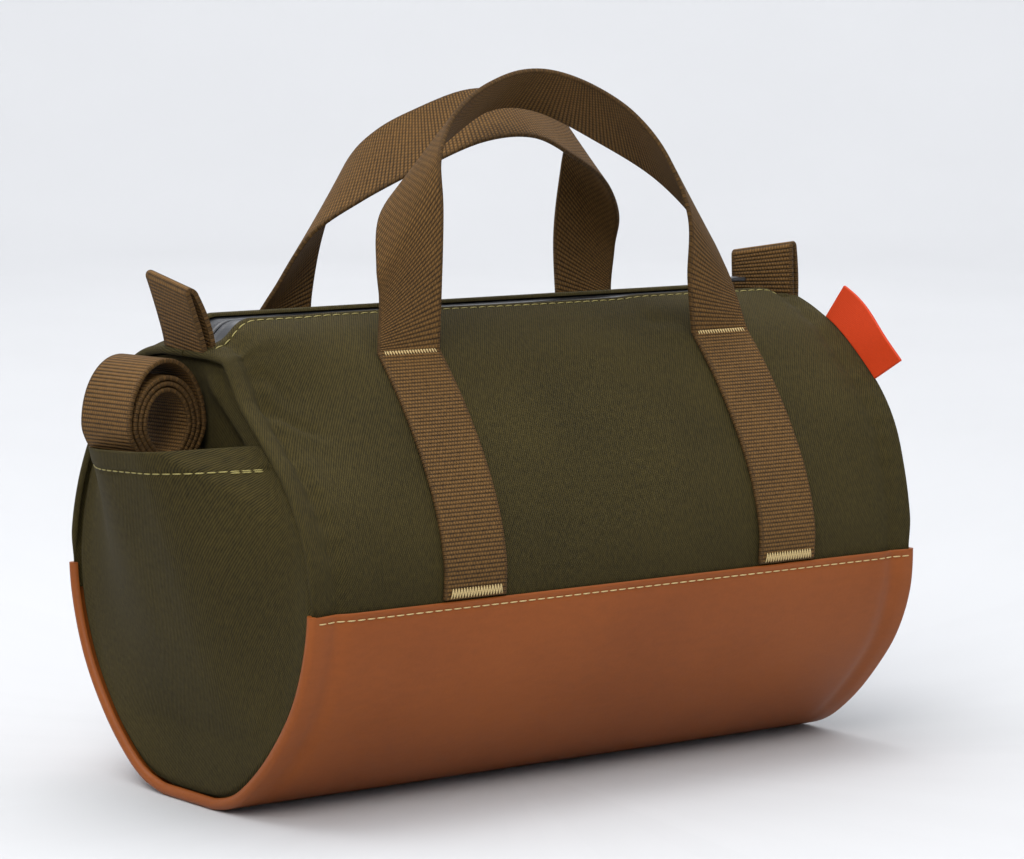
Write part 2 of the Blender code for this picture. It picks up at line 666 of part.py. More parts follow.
def slider_and_puller():
    """Slider on the tapes with its bridge, and the pull tab hinged under the bridge."""
    under = skin(SLIDER_AT, TOP, FABRIC_REST + FABRIC + GAP).z + GAP
    top = under + SLIDER_PLATE
    plate_size = (SLIDER_LENGTH, SLIDER_WIDTH, SLIDER_PLATE)
    slider = block("zip_slider", (SLIDER_AT, 0, (under + top) / 2), plate_size, SLIDER_CORNER, 2)
    rise = BRIDGE_RISE + BRIDGE_SINK
    middle = (SLIDER_AT, 0, top + BRIDGE_RISE - rise / 2)
    bridge_size = (BRIDGE_LENGTH, BRIDGE_WIDTH, rise)
    bridge = block("bridge", middle, bridge_size, BRIDGE_CORNER, 1)
    window_size = (BRIDGE_LENGTH - 2 * BRIDGE_WALL, 2 * BRIDGE_WIDTH, rise - 2 * BRIDGE_WALL)
    window = block("bridge_window", middle, window_size, BRIDGE_CORNER - BRIDGE_WALL, 1)
    combine(bridge, window, "DIFFERENCE")
    combine(slider, bridge, "UNION")
    axis = Vector((SLIDER_AT, 0, top + BRIDGE_RISE - BRIDGE_WALL - RUNNING_GAP - PULLER / 2))
    puller_size = (PULLER_LENGTH, PULLER_WIDTH, PULLER)
    middle = ((PULLER_LENGTH - PULLER) / 2, 0, 0)
    puller = block("zip_puller", middle, puller_size, PULLER_CORNER, 2)
    eye_length = PULLER_EYE - PULLER / 2
    eye_size = (eye_length, BRIDGE_WIDTH + 2 * RUNNING_GAP, 2 * PULLER)
    eye = block("puller_eye", ((PULLER + eye_length) / 2, 0, 0), eye_size, EYE_CORNER, 2)
    combine(puller, eye, "DIFFERENCE")
    puller.location = axis
    eye.location = axis


def main():
    """Clear the scene and build every piece."""
    for obj in list(bpy.data.objects):
        bpy.data.objects.remove(obj, do_unlink=True)
    body_panels()
    ends_and_pocket()
    zip_tapes()
    slider_and_puller()
    handle("handle_front", FRONT, FRONT_RISE, FRONT_LOOP)
    handle("handle_back", BACK, BACK_RISE, BACK_LOOP)
    tabs()
    strap_roll()
    label()


main()
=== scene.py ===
"""Finished look of a small barrel bag: twill upper, leather base, webbing straps and a zip.

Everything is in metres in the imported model's frame. The bag lies along X with its zip on top and
its front facing -Y. Each cloth piece carries a UV map in metres, which its weave follows.
"""
from __future__ import annotations

import logging
from collections.abc import Callable, Iterator, Sequence
from contextlib import contextmanager
from dataclasses import dataclass, field
from enum import Enum
from math import cos, pi, radians, sin
from typing import NamedTuple

import bpy
import numpy as np
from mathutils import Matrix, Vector

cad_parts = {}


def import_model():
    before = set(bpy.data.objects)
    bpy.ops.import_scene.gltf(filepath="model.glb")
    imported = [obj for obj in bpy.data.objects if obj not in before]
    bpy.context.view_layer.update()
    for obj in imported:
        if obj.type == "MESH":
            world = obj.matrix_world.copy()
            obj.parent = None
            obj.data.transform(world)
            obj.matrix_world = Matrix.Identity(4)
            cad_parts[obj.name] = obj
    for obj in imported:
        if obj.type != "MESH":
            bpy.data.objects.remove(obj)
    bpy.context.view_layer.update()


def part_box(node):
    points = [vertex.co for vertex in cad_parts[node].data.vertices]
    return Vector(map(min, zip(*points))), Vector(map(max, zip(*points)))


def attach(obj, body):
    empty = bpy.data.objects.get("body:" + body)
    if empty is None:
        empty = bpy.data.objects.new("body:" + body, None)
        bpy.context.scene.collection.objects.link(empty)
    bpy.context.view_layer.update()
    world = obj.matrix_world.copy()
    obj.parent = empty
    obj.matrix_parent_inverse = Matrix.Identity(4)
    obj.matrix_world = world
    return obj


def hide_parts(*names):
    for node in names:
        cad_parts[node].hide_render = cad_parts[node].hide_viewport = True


Array = np.ndarray
Depth = Callable[[Array], Array]
Field = Callable[[Array, Array], Array]
Piece = bpy.types.Object
Material = bpy.types.Material
Socket = bpy.types.NodeSocket
Tree = bpy.types.NodeTree
Look = tuple[Socket, Socket]
Place = tuple[float, float, float]

LOG = logging.getLogger("barrel_bag")
GAP = 0.0003
UP = np.array([0.0, 0.0, 1.0])


class Side(Enum):
    """A face of the bag, as the sign of its Y."""

    FRONT = -1
    BACK = 1


class Row(NamedTuple):
    """One row of the body's section, as shares of half the depth and of the height."""

    depth: float
    rise: float
    front_left_in: float = 0
    back_left_in: float = 0
    right_in: float = 0
    left_drop: float = 0
    right_drop: float = 0


class Hollow(NamedTuple):
    """A soft hollow in the front: place as shares, size in metres."""

    along: float
    rise: float
    reach_along: float
    reach_rise: float
    depth: float


class Ruling(NamedTuple):
    """A straight line across a handle, from its inner selvedge to its outer one, as shares."""

    in_along: float
    in_out: float
    in_up: float
    out_along: float
    out_out: float
    out_up: float


SECTION = (
    Row(0, 0),
    Row(0.2, 0),
    Row(0.4, 0.024, 0.01),
    Row(0.585, 0.083, 0.012),
    Row(0.75, 0.16, 0.012, 0.004),
    Row(0.88, 0.247, 0.006, 0.006, -0.012),
    Row(0.965, 0.345, 0.004, 0.006, -0.014),
    Row(1, 0.442, 0, 0.004),
    Row(0.985, 0.54, 0, 0.008, 0.004),
    Row(0.927, 0.632, 0.02, 0.01, -0.012),
    Row(0.84, 0.714, 0.06, 0.012, -0.04),
    Row(0.745, 0.785, 0.13, 0.02, -0.04),
    Row(0.64, 0.851, 0.175, 0.05, -0.01, 0.004, 0.002),
    Row(0.505, 0.921, 0.13, 0.06, 0.03, 0.016, 0.008),
    Row(0.35, 0.97, 0.03, 0.03, 0.04, 0.04, 0.016),
    Row(0.19, 0.998, 0, 0, 0, 0.06, 0.022),
    Row(0.13, 1, 0, 0, 0, 0.062, 0.02),
    Row(0, 0.998, 0, 0, 0, 0.06, 0.016),
)
TOP = len(SECTION) - 1.0

HOLLOWS = (
    Hollow(-0.86, 0.8, 0.016, 0.011, 0.0032),
    Hollow(-0.7, 0.9, 0.02, 0.008, 0.0016),
    Hollow(0.22, 0.965, 0.045, 0.006, 0.001),
)

FRONT_LOOP = (
    Ruling(-0.828, 1.1, 0.519, -1.14, 0.905, 0.2),
    Ruling(-0.803, 1.011, 0.74, -1.13, 0.85, 0.313),
    Ruling(-0.669, 0.837, 0.875, -1.019, 0.621, 0.504),
    Ruling(-0.504, 0.713, 0.965, -0.743, 0.405, 0.659),
    Ruling(-0.323, 0.638, 1.027, -0.424, 0.214, 0.799),
    Ruling(-0.116, 0.602, 1.067, -0.106, 0.084, 0.908),
    Ruling(0.088, 0.622, 1.061, 0.187, 0.115, 0.898),
    Ruling(0.306, 0.707, 1, 0.516, 0.291, 0.768),
    Ruling(0.492, 0.85, 0.892, 0.808, 0.501, 0.615),
    Ruling(0.627, 1.011, 0.727, 1.01, 0.714, 0.424),
    Ruling(0.725, 1.135, 0.484, 1.108, 0.845, 0.248),
    Ruling(0.758, 1.063, 0.226, 1.156, 0.919, 0.124),
)
BACK_LOOP = (
    Ruling(-0.792, 1.01, 0.199, -1.162, 0.921, 0.094),
    Ruling(-0.727, 0.99, 0.473, -1.114, 0.777, 0.212),
    Ruling(-0.628, 0.856, 0.768, -0.978, 0.56, 0.455),
    Ruling(-0.507, 0.685, 0.922, -0.758, 0.345, 0.608),
    Ruling(-0.294, 0.551, 1.024, -0.444, 0.157, 0.753),
    Ruling(-0.039, 0.467, 1.099, -0.11, 0.006, 0.874),
    Ruling(0.219, 0.494, 1.098, 0.23, 0.019, 0.888),
    Ruling(0.471, 0.601, 1.043, 0.574, 0.213, 0.786),
    Ruling(0.679, 0.718, 0.98, 0.899, 0.457, 0.654),
    Ruling(0.822, 0.877, 0.891, 1.133, 0.763, 0.484),
    Ruling(0.87, 1.067, 0.721, 1.21, 0.981, 0.329),
    Ruling(0.851, 1.133, 0.388, 1.202, 1.026, 0.16),
)


def ease(value: Array | float) -> Array:
    """Smooth step from 0 to 1."""
    share = np.clip(value, 0.0, 1.0)
    return share * share * (3 - 2 * share)


def hump(value: Array | float) -> Array:
    """Bell curve of height 1 and unit width."""
    return np.exp(-np.square(value))


def rounded(inside: Array, radius: float) -> Array:
    """Drop of a rounded edge of radius 1, at distances inside the edge."""
    return 1 - np.sqrt(1 - np.clip(1 - inside / radius, 0.0, 1.0) ** 2)


def unit(vectors: Array) -> Array:
    """Scale vectors along the last axis to length 1."""
    return vectors / np.maximum(np.linalg.norm(vectors, axis=-1, keepdims=True), 1e-12)


def run_along(points: Array) -> Array:
    """Distance along a line of points, at each of them."""
    return np.concatenate([[0.0], np.cumsum(np.linalg.norm(np.diff(points, axis=0), axis=1))])


def sample(values: Array, run: Array, places: Array) -> Array:
    """Rows of values at distances along a run."""
    return np.stack([np.interp(places, run, values[:, k]) for k in range(3)], axis=1)


def spline(rows: Sequence[Sequence[float]], place: Array | float) -> Array:
    """Catmull-Rom values at fractional row numbers of a table.

    Args:
        rows: The table.
        place: Row numbers.

    Returns:
        One row of values for each place, along the last axis.
    """
    table = np.array(rows, float)
    count = len(table)
    table = np.vstack([2 * table[0] - table[1], table, 2 * table[-1] - table[-2]])
    place = np.clip(np.asarray(place, float), 0.0, count - 1.0)
    first = np.minimum(place.astype(int), count - 2)
    a, b, c, d = (table[first + k] for k in range(4))
    t = (place - first)[..., None]
    bend = 2 * a - 5 * b + 4 * c - d
    return 0.5 * (2 * b + (c - a) * t + bend * t * t + (3 * b - a - 3 * c + d) * t ** 3)


def spread(*stretches: Place) -> Array:
    """Places along a line from several stretches, each with its own spacing.

    Args:
        stretches: Start, end and spacing of each stretch.

    Returns:
        The places in rising order, without near doubles.
    """
    places = [np.linspace(a, b, max(int(round(abs(b - a) / step)), 1) + 1) for a, b, step in stretches]
    ordered = np.sort(np.concatenate(places))
    kept = [ordered[0]]
    for place in ordered[1:]:
        if place - kept[-1] > 0.00012:
            kept.append(place)
    return np.array(kept)


def linear(code: str) -> tuple[float, ...]:
    """Turn an sRGB hex colour, such as "#56502D", into linear RGBA."""
    values = [int(code[i:i + 2], 16) / 255 for i in (1, 3, 5)]
    return *(v / 12.92 if v <= 0.04045 else ((v + 0.055) / 1.055) ** 2.4 for v in values), 1.0


def add_node(tree: Tree, kind: str, inputs: dict | None = None, **settings: object) -> bpy.types.Node:
    """Add a node with its settings, values and links.

    Args:
        tree: The node tree.
        kind: The node's type name.
        inputs: Value or output socket for each input, by name or number.
        settings: Properties of the node.

    Returns:
        The node.
    """
    node = tree.nodes.new(kind)
    for name, value in settings.items():
        setattr(node, name, value)
    for key, value in (inputs or {}).items():
        if isinstance(value, Socket):
            tree.links.new(value, node.inputs[key])
        else:
            node.inputs[key].default_value = value
    return node


class Pattern:
    """Arithmetic on a material's sockets, one Math node at a time."""

    def __init__(self, tree: Tree) -> None:
        """Read the piece's UV map, in metres."""
        self.tree = tree
        self.place = add_node(tree, "ShaderNodeTexCoord").outputs["UV"]
        self.across, self.along = add_node(tree, "ShaderNodeSeparateXYZ", {0: self.place}).outputs[:2]

    def math(self, operation: str, *values: object) -> Socket:
        """Apply one operation of the Math node to numbers or sockets."""
        return add_node(self.tree, "ShaderNodeMath", dict(enumerate(values)), operation=operation).outputs[0]

    def ridges(self, place: Socket, pitch: float) -> Socket:
        """Rounded ridges across a coordinate, from 0 in the grooves to 1 on the crowns."""
        return self.math("ABSOLUTE", self.math("SINE", self.math("MULTIPLY", place, pi / pitch)))

    def noise(self, size: float, detail: float = 2.0, stretch: float = 1.0) -> Socket:
        """Cloudy noise over the piece, about 0.5 on average.

        Args:
            size: Size of the clouds.
            detail: Octaves of finer noise.
            stretch: How many times longer the clouds are along the piece than across it.

        Returns:
            The noise's socket.
        """
        factors = {0: self.place, 1: (1.0, 1.0 / stretch, 1.0)}
        scaled = add_node(self.tree, "ShaderNodeVectorMath", factors, operation="MULTIPLY").outputs[0]
        inputs = {"Vector": scaled, "Scale": 1 / size, "Detail": detail}
        return add_node(self.tree, "ShaderNodeTexNoise", inputs).outputs["Fac"]

    def blend(self, *terms: tuple[Socket, float], start: float = 0.0) -> Socket:
        """Weighted sum of sockets.

        Args:
            terms: Sockets with their weights.
            start: A number to begin with.

        Returns:
            The sum's socket.
        """
        total: object = start
        for socket, weight in terms:
            total = self.math("MULTIPLY_ADD", socket, weight, total)
        return total


@dataclass(frozen=True)
class Finish:
    """A surface with a pattern: two colours, gloss and the depth of its relief."""

    name: str
    dark: str
    light: str
    roughness: float
    relief: float
    ior: float = 1.5
    specular: float = 0.5
    sheen: float = 0.0
    coat: float = 0.0

    def pattern(self, cloth: Pattern) -> Look:
        """Sockets of the tone, from dark to light, and of the height: plain clouds."""
        cloud = cloth.noise(0.3)
        return cloud, cloud

    def material(self) -> Material:
        """Build the material, with its pattern in the colour and the bump.

        Returns:
            The material.
        """
        material = bpy.data.materials.new(self.name)
        material.use_nodes = True
        tree = material.node_tree
        shader = tree.nodes["Principled BSDF"]
        tone, height = self.pattern(Pattern(tree))
        values = {
            "Roughness": self.roughness,
            "IOR": self.ior,
            "Specular IOR Level": self.specular,
            "Sheen Weight": self.sheen,
            "Sheen Roughness": 0.45,
            "Sheen Tint": linear(self.light),
            "Coat Weight": self.coat,
            "Coat Roughness": 0.25,
        }
        for name, value in values.items():
            shader.inputs[name].default_value = value
        colours = {0: tone, 6: linear(self.dark), 7: linear(self.light)}
        colour = add_node(tree, "ShaderNodeMix", colours, data_type="RGBA", clamp_factor=True)
        tree.links.new(colour.outputs[2], shader.inputs["Base Color"])
        bump = add_node(tree, "ShaderNodeBump", {"Height": height, "Distance": self.relief, "Strength": 1.0})
        tree.links.new(bump.outputs["Normal"], shader.inputs["Normal"])
        return material


@dataclass(frozen=True)
class Twill(Finish):
    """Diagonal ridges of slightly uneven yarn. The real ones are about 0.5 mm apart, too fine to show."""

    pitch: float = 0.00075
    slope: float = radians(58)

    def pattern(self, cloth: Pattern) -> Look:
        """Tone and height of the diagonal ridges."""
        slant = cloth.blend((cloth.across, sin(self.slope)), (cloth.along, -cos(self.slope)))
        ridge = cloth.ridges(slant, self.pitch)
        thread = cloth.ridges(cloth.blend((cloth.across, 1.0)), self.pitch * 0.8)
        yarn = cloth.noise(0.0011, 1.0, 2.0)
        cloud = cloth.noise(0.045, 3.0)
        tone = cloth.blend((ridge, 0.55), (thread, 0.15), (yarn, 0.65), (cloud, 0.4), start=-0.45)
        return tone, cloth.blend((ridge, 0.7), (thread, 0.3))


@dataclass(frozen=True)
class SmoothLeather(Finish):
    """Fine pebbled grain with slow changes of tone."""

    grain: float = 0.0011

    def pattern(self, cloth: Pattern) -> Look:
        """Tone and height of the grain."""
        inputs = {"Vector": cloth.place, "Scale": 1 / self.grain, "Smoothness": 0.6}
        cells = add_node(cloth.tree, "ShaderNodeTexVoronoi", inputs, feature="SMOOTH_F1")
        pores = cloth.math("SUBTRACT", 1.0, cells.outputs["Distance"])
        cloud = cloth.noise(0.060, 4.0)
        scuff = cloth.noise(0.006, 3.0, 0.4)
        tone = cloth.blend((cloud, 0.9), (scuff, 0.35), (pores, 0.12), start=-0.22)
        return tone, cloth.blend((pores, 0.6), (scuff, 0.8))


@dataclass(frozen=True)
class RibbedWebbing(Finish):
    """Plain-woven ribs across the strap, staggered like bricks, and firm selvedges, with painted shade in the
    gaps between the ribs.
    """

    rib: float = 0.00135
    cell: float = 0.00115
    width: float = 0.025
    selvedge: float = 0.0012

    def pattern(self, cloth: Pattern) -> Look:
        """Tone and height of the ribs; the tone follows the height, which paints shade into the gaps."""
        row = cloth.math("DIVIDE", cloth.along, self.rib)
        crown = cloth.ridges(cloth.along, self.rib)
        odd = cloth.math("MODULO", cloth.math("FLOOR", row), 2.0)
        shifted = cloth.math("MULTIPLY_ADD", odd, self.cell / 2, cloth.across)
        bead = cloth.ridges(shifted, self.cell)
        weave = cloth.math("MULTIPLY", crown, cloth.blend((bead, 0.62), start=0.38))
        middle = cloth.math("SUBTRACT", cloth.across, self.width / 2)
        off = cloth.math("SUBTRACT", cloth.math("ABSOLUTE", middle), self.width / 2 - self.selvedge)
        edge = cloth.math("GREATER_THAN", off, 0.0)
        body = cloth.math("MULTIPLY", weave, cloth.blend((edge, -0.65), start=1.0))
        rolled = cloth.math("MULTIPLY", edge, cloth.ridges(cloth.along, self.rib / 2))
        yarn, cloud = cloth.noise(0.0016), cloth.noise(0.030)
        # Painted shade: the weave's height also sets the tone, so the gaps between ribs and beads fall to the
        # near-black dark colour.
        tone = cloth.blend((body, 0.85), (rolled, 0.18), (yarn, 0.5), (cloud, 0.3), start=-0.30)
        return tone, cloth.blend((body, 1.0), (rolled, 0.30))


@dataclass(frozen=True)
class CoatedTape(Finish):
    """Smooth film with a faint crossing weave below."""

    def pattern(self, cloth: Pattern) -> Look:
        """Tone and height of the film."""
        cloud = cloth.noise(0.004, 3.0)
        thread = cloth.ridges(cloth.across, 0.0009)
        return cloth.blend((cloud, 1.0), (thread, 0.1), start=-0.05), cloth.blend((thread, 0.3), (cloud, 0.7))


@dataclass(frozen=True)
class WovenRibbon(Finish):
    """Very fine ribs along the ribbon."""

    def pattern(self, cloth: Pattern) -> Look:
        """Tone and height of the fine ribs."""
        rib = cloth.ridges(cloth.along, 0.0005)
        return cloth.blend((rib, 0.5), (cloth.noise(0.0012, 2.0, 0.3), 0.7), start=-0.05), rib


@dataclass(frozen=True)
class TwistedThread(Finish):
    """Two or three plies with a slow twist."""

    def pattern(self, cloth: Pattern) -> Look:
        """Tone and height of the plies."""
        ply = cloth.ridges(cloth.blend((cloth.across, 1.0), (cloth.along, 0.8)), 0.0005)
        return cloth.blend((ply, 0.6), (cloth.noise(0.002), 0.6), start=-0.1), ply


# Coated polyester, woven in a twill: matt, with fine slanting lines.
TWILL = Twill("olive_polyester_twill", "#121005", "#483E1B", 0.90, 0.00018, specular=0.2, sheen=0.05)
# Split leather, pigmented and pressed: a soft gloss, nearly even in tone.
LEATHER = SmoothLeather("tan_coated_leather", "#753A0E", "#964F18", 0.50, 0.00003, specular=0.28)
# Textured polyester yarn, woven narrow and thick: matt ribs, with painted shade in the gaps between them.
WEBBING = RibbedWebbing(
    "coyote_polyester_webbing", "#181006", "#78572C", 0.75, 0.00040, specular=0.2, sheen=0.05
)
# Polyurethane film, laminated on woven tape: dark, with broad soft highlights.
TAPE = CoatedTape("coated_zip_tape", "#040509", "#10151F", 0.30, 0.00003, coat=0.25)
# Nylon, extruded and coiled: nearly black, with little gloss.
COIL = CoatedTape("nylon_zip_coil", "#060606", "#161616", 0.45, 0.00010)
# Zinc alloy, die cast and painted: black, with small sharp highlights.
METAL = CoatedTape("black_painted_zinc", "#0A0A0B", "#1C1D20", 0.32, 0.00002, coat=0.5)
# Polyester damask, woven dense and heat-cut: an even, bright satin.
RIBBON = WovenRibbon("orange_damask_ribbon", "#AE2E08", "#D2400E", 0.60, 0.00006, specular=0.3)
# Polyester thread, twisted and bonded: pale, with slanting plies and faint clouds.
CREAM = TwistedThread("cream_bonded_thread", "#A88C58", "#D6BF88", 0.60, 0.00008)
KHAKI = TwistedThread("straw_bonded_thread", "#726A33", "#AC9F60", 0.60, 0.00008)
# Uncoated paper from a roll: matt and pale, without lines.
PAPER = Finish("seamless_studio_paper", "#C3C4C6", "#C8C9CB", 0.95, 0.0, specular=0.1)


@dataclass
class BodyForm:
    """Outer skin of the stuffed barrel: sections swept along X, with rolled rims at the ends.

    A station is a row number of SECTION, below zero on the front. An arc is the distance round
    the middle section from the floor, also below zero on the front.
    """

    rim_radius: float = 0.0020
    rim_fade: float = 0.0040
    trim: float = 0.0006
    valley_at: float = 0.0105
    valley_depth: float = 0.0011
    valley_width: float = 0.0034
    valley_fade: float = 0.020
    dent_reach: float = 0.050
    drop_reach: float = 0.020
    hollow_off: float = 0.002
    hollow_fade: float = 0.011
    fabric: float = 0.0010
    fabric_rest: float = 0.0006
    fabric_ease: float = 0.012
    leather: float = 0.0013
    leather_edge: float = 0.0725
    leather_overlap: float = 0.009
    strap_spacing: float = 0.1343
    strap_shift: float = 0.0020
    strap_width: float = 0.025
    half_length: float = field(init=False)
    half_depth: float = field(init=False)
    height: float = field(init=False)

    def __post_init__(self) -> None:
        """Take the overall sizes from the frame and measure the middle section."""
        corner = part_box("base_panel")[1]
        self.half_length = corner[0] - self.trim
        self.half_depth = corner[1]
        self.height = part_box("front_panel")[1][2] + self.fabric_rest
        self._stations = np.linspace(-TOP, TOP, 1401)
        y, z = self.section(np.zeros(1401), self._stations)
        run = np.concatenate([[0.0], np.cumsum(np.hypot(np.diff(y), np.diff(z)))])
        self._arcs = run - run[len(run) // 2]

    def section(self, x: Array, station: Array) -> tuple[Array, Array]:
        """Skin without channels.

        Args:
            x: Places along the bag.
            station: Places round it.

        Returns:
            Their Y and Z.
        """
        row = Row(*np.moveaxis(spline(SECTION, np.abs(station)), -1, 0))
        to_left, to_right = x + self.half_length, self.half_length - x
        left_in = np.where(station < 0, row.front_left_in, row.back_left_in)
        depth = row.depth - ease(1 - to_left / self.dent_reach) * left_in
        depth = depth - ease(1 - to_right / self.dent_reach) * row.right_in
        rise = row.rise - ease(1 - to_left / self.drop_reach) * row.left_drop
        rise = rise - ease(1 - to_right / self.drop_reach) * row.right_drop
        facing = np.where(station < 0, -1.0, 1.0)
        return facing * depth * self.half_depth, np.maximum(rise, 0.0) * self.height

    def normals(self, x: Array, station: Array) -> Array:
        """Directions out of the skin, across X.

        Args:
            x: Places along the bag.
            station: Places round it.

        Returns:
            The directions.
        """
        low_y, low_z = self.section(x, np.maximum(station - 0.05, -TOP))
        high_y, high_z = self.section(x, np.minimum(station + 0.05, TOP))
        across, up = high_y - low_y, high_z - low_z
        size = np.hypot(across, up)
        return np.stack([0 * x, up / size, -across / size], axis=-1)

    def channels(self, x: Array, station: Array) -> Array:
        """Depth of the channels behind the rims and of the soft hollows.

        Args:
            x: Places along the bag.
            station: Places round it.

        Returns:
            How far the skin is drawn in.
        """
        z = self.section(x, station)[1]
        end = self.half_length - np.abs(x)
        lift = ease((z - self.rim_radius) / self.valley_fade)
        total = self.valley_depth * hump((end - self.valley_at) / self.valley_width) * lift
        beside = np.abs(np.abs(x - self.strap_shift) - self.strap_spacing / 2) - self.strap_width / 2
        free = ease((beside - self.hollow_off) / self.hollow_fade)
        free = free * ease((end - 2 * self.rim_radius) / self.hollow_fade)
        for dent in HOLLOWS:
            far = (x - dent.along * self.half_length) / dent.reach_along
            high = (z - dent.rise * self.height) / dent.reach_rise
            bell = np.exp(-(far * far + high * high) / 2)
            total = total + np.where(station > 0, 0.0, free * dent.depth * bell)
        return total

    def skin(self, x: Array, station: Array, inset: Array | float = 0.0, channels: bool = True) -> Array:
        """Points below the skin.

        Args:
            x: Places along the bag.
            station: Places round it.
            inset: Depth below the skin.
            channels: Whether the channels and hollows are cut in.

        Returns:
            The points, with X, Y and Z along the last axis.
        """
        x, station, inset = np.broadcast_arrays(np.asarray(x, float), station, inset)
        depth = inset + (self.channels(x, station) if channels else 0.0)
        return np.stack([x, *self.section(x, station)], axis=-1) - self.normals(x, station) * depth[..., None]

    def station_at_height(self, height: float) -> float:
        """Station where the middle section reaches a height."""
        places = np.linspace(1.0, TOP - 1.0, 321)
        return float(np.interp(height, spline(SECTION, places)[:, 1] * self.height, places))

    def arc_at_height(self, height: float) -> float:
        """Distance round the middle section to a height."""
        return float(np.interp(self.station_at_height(height), self._stations, self._arcs))

    def arc_at_depth(self, depth: float) -> float:
        """Distance round it to where its top comes in to a distance from the middle."""
        places = np.linspace(TOP, TOP - 6.0, 241)
        station = np.interp(depth, spline(SECTION, places)[:, 0] * self.half_depth, places)
        return float(np.interp(station, self._stations, self._arcs))

    def station(self, arc: Array | float) -> Array:
        """Stations at distances round the middle section."""
        return np.interp(arc, self._arcs, self._stations)

    def fabric_inset(self, station: Array) -> Array:
        """Depth of the fabric's outer face: under the leather below its edge, near flush above."""
        height = spline(SECTION, np.abs(station))[..., 1] * self.height
        rise = ease((height - self.leather_edge) / self.fabric_ease)
        return self.fabric_rest + (self.leather + GAP - self.fabric_rest) * (1 - rise)

    def panel(self, arcs: Array, inset: Depth, relief: Field, reach: Field | None = None) -> Array:
        """Grid of points of one wrapped panel, with both ends rolled in round the rims.

        Args:
            arcs: Distances round the middle section, in falling order.
            inset: Depth of the panel's outer face at a station.
            relief: Height of its seams and folds at an x and an arc.
            reach: Where an arc lies at an x, if the panel's edge isn't straight.

        Returns:
            The grid, one row for each arc.
        """
        flat = spread((0.0, 0.020, 0.0009), (0.020, self.half_length - self.rim_radius, 0.0016))[1:]
        turn = np.concatenate([np.linspace(pi, 0, 13), 0 * flat])
        away = np.concatenate([np.zeros(13), flat])
        side = np.concatenate([-np.ones(len(turn)), np.ones(len(turn) - 1)])
        turn = np.concatenate([turn, turn[-2::-1]])
        away = np.concatenate([away, away[-2::-1]])
        arcs = arcs[:, None]
        radius = self.rim_radius - inset(self.station(arcs))
        x = side * (self.half_length - self.rim_radius + radius * np.sin(turn) - away)
        sink = self.rim_radius - radius * np.cos(turn)
        raised = relief(x, arcs + 0 * x) * ease(away / self.rim_fade)
        places = reach(x, arcs) if reach else arcs + 0 * x
        return self.skin(x, self.station(places), sink - raised)


def choose(*pieces: Piece) -> None:
    bpy.ops.object.select_all(action="DESELECT")
    for piece in pieces:
        piece.select_set(True)
    if pieces:
        bpy.context.view_layer.objects.active = pieces[0]


@contextmanager
def editing(select: str = "SELECT") -> Iterator[None]:
    """Enter edit mode with everything selected, or nothing, and leave it afterwards."""
    bpy.ops.object.mode_set(mode="EDIT")
    bpy.ops.mesh.select_all(action=select)
    yield
    bpy.ops.object.mode_set(mode="OBJECT")


def stretched(name: str, scale: Sequence[float]) -> Piece:
    """Name the piece just added, stretch it and apply its place.

    Args:
        name: The piece's name.
        scale: Its stretch along each axis.

    Returns:
        The piece.
    """
    piece = bpy.context.object
    piece.name = name
    piece.scale = scale
    bpy.ops.object.transform_apply(location=True, rotation=True, scale=True)
    return piece


def apply_modifier(piece: Piece, kind: str, **settings: object) -> None:
    """Add a modifier and apply it at once.

    Args:
        piece: The piece.
        kind: The modifier's type name.
        settings: Its properties.
    """
    choose(piece)
    modifier = piece.modifiers.new(kind.lower(), kind)
    for name, value in settings.items():
        setattr(modifier, name, value)
    bpy.ops.object.modifier_apply(modifier=modifier.name)


def lay_cloth(name: str, points: Array, flat: Array | None = None) -> Piece:
    """Make a grid of cloth that passes through rows of points.

    Args:
        name: The piece's name.
        points: Rows and columns of points. Across, then up the rows, turns to the outside.
        flat: Places of the points on the flat cloth, or None to measure them along the grid.

    Returns:
        The cloth, one face thick, with a UV map in metres.
    """
    rows, columns = points.shape[:2]
    choose()
    bpy.ops.mesh.primitive_grid_add(x_subdivisions=columns - 1, y_subdivisions=rows - 1, size=1)
    cloth = bpy.context.object
    cloth.name = name
    mesh = cloth.data
    mesh.vertices.foreach_set("co", points.reshape(-1))
    if flat is None:
        sides = np.meshgrid(run_along(points[rows // 2]), run_along(points[:, columns // 2]))
        flat = np.stack(sides, axis=-1)
    corners = np.empty(len(mesh.loops), dtype=np.int32)
    mesh.loops.foreach_get("vertex_index", corners)
    mesh.uv_layers.active.data.foreach_set("uv", flat.reshape(-1, 2)[corners].reshape(-1))
    mesh.update()
    return cloth


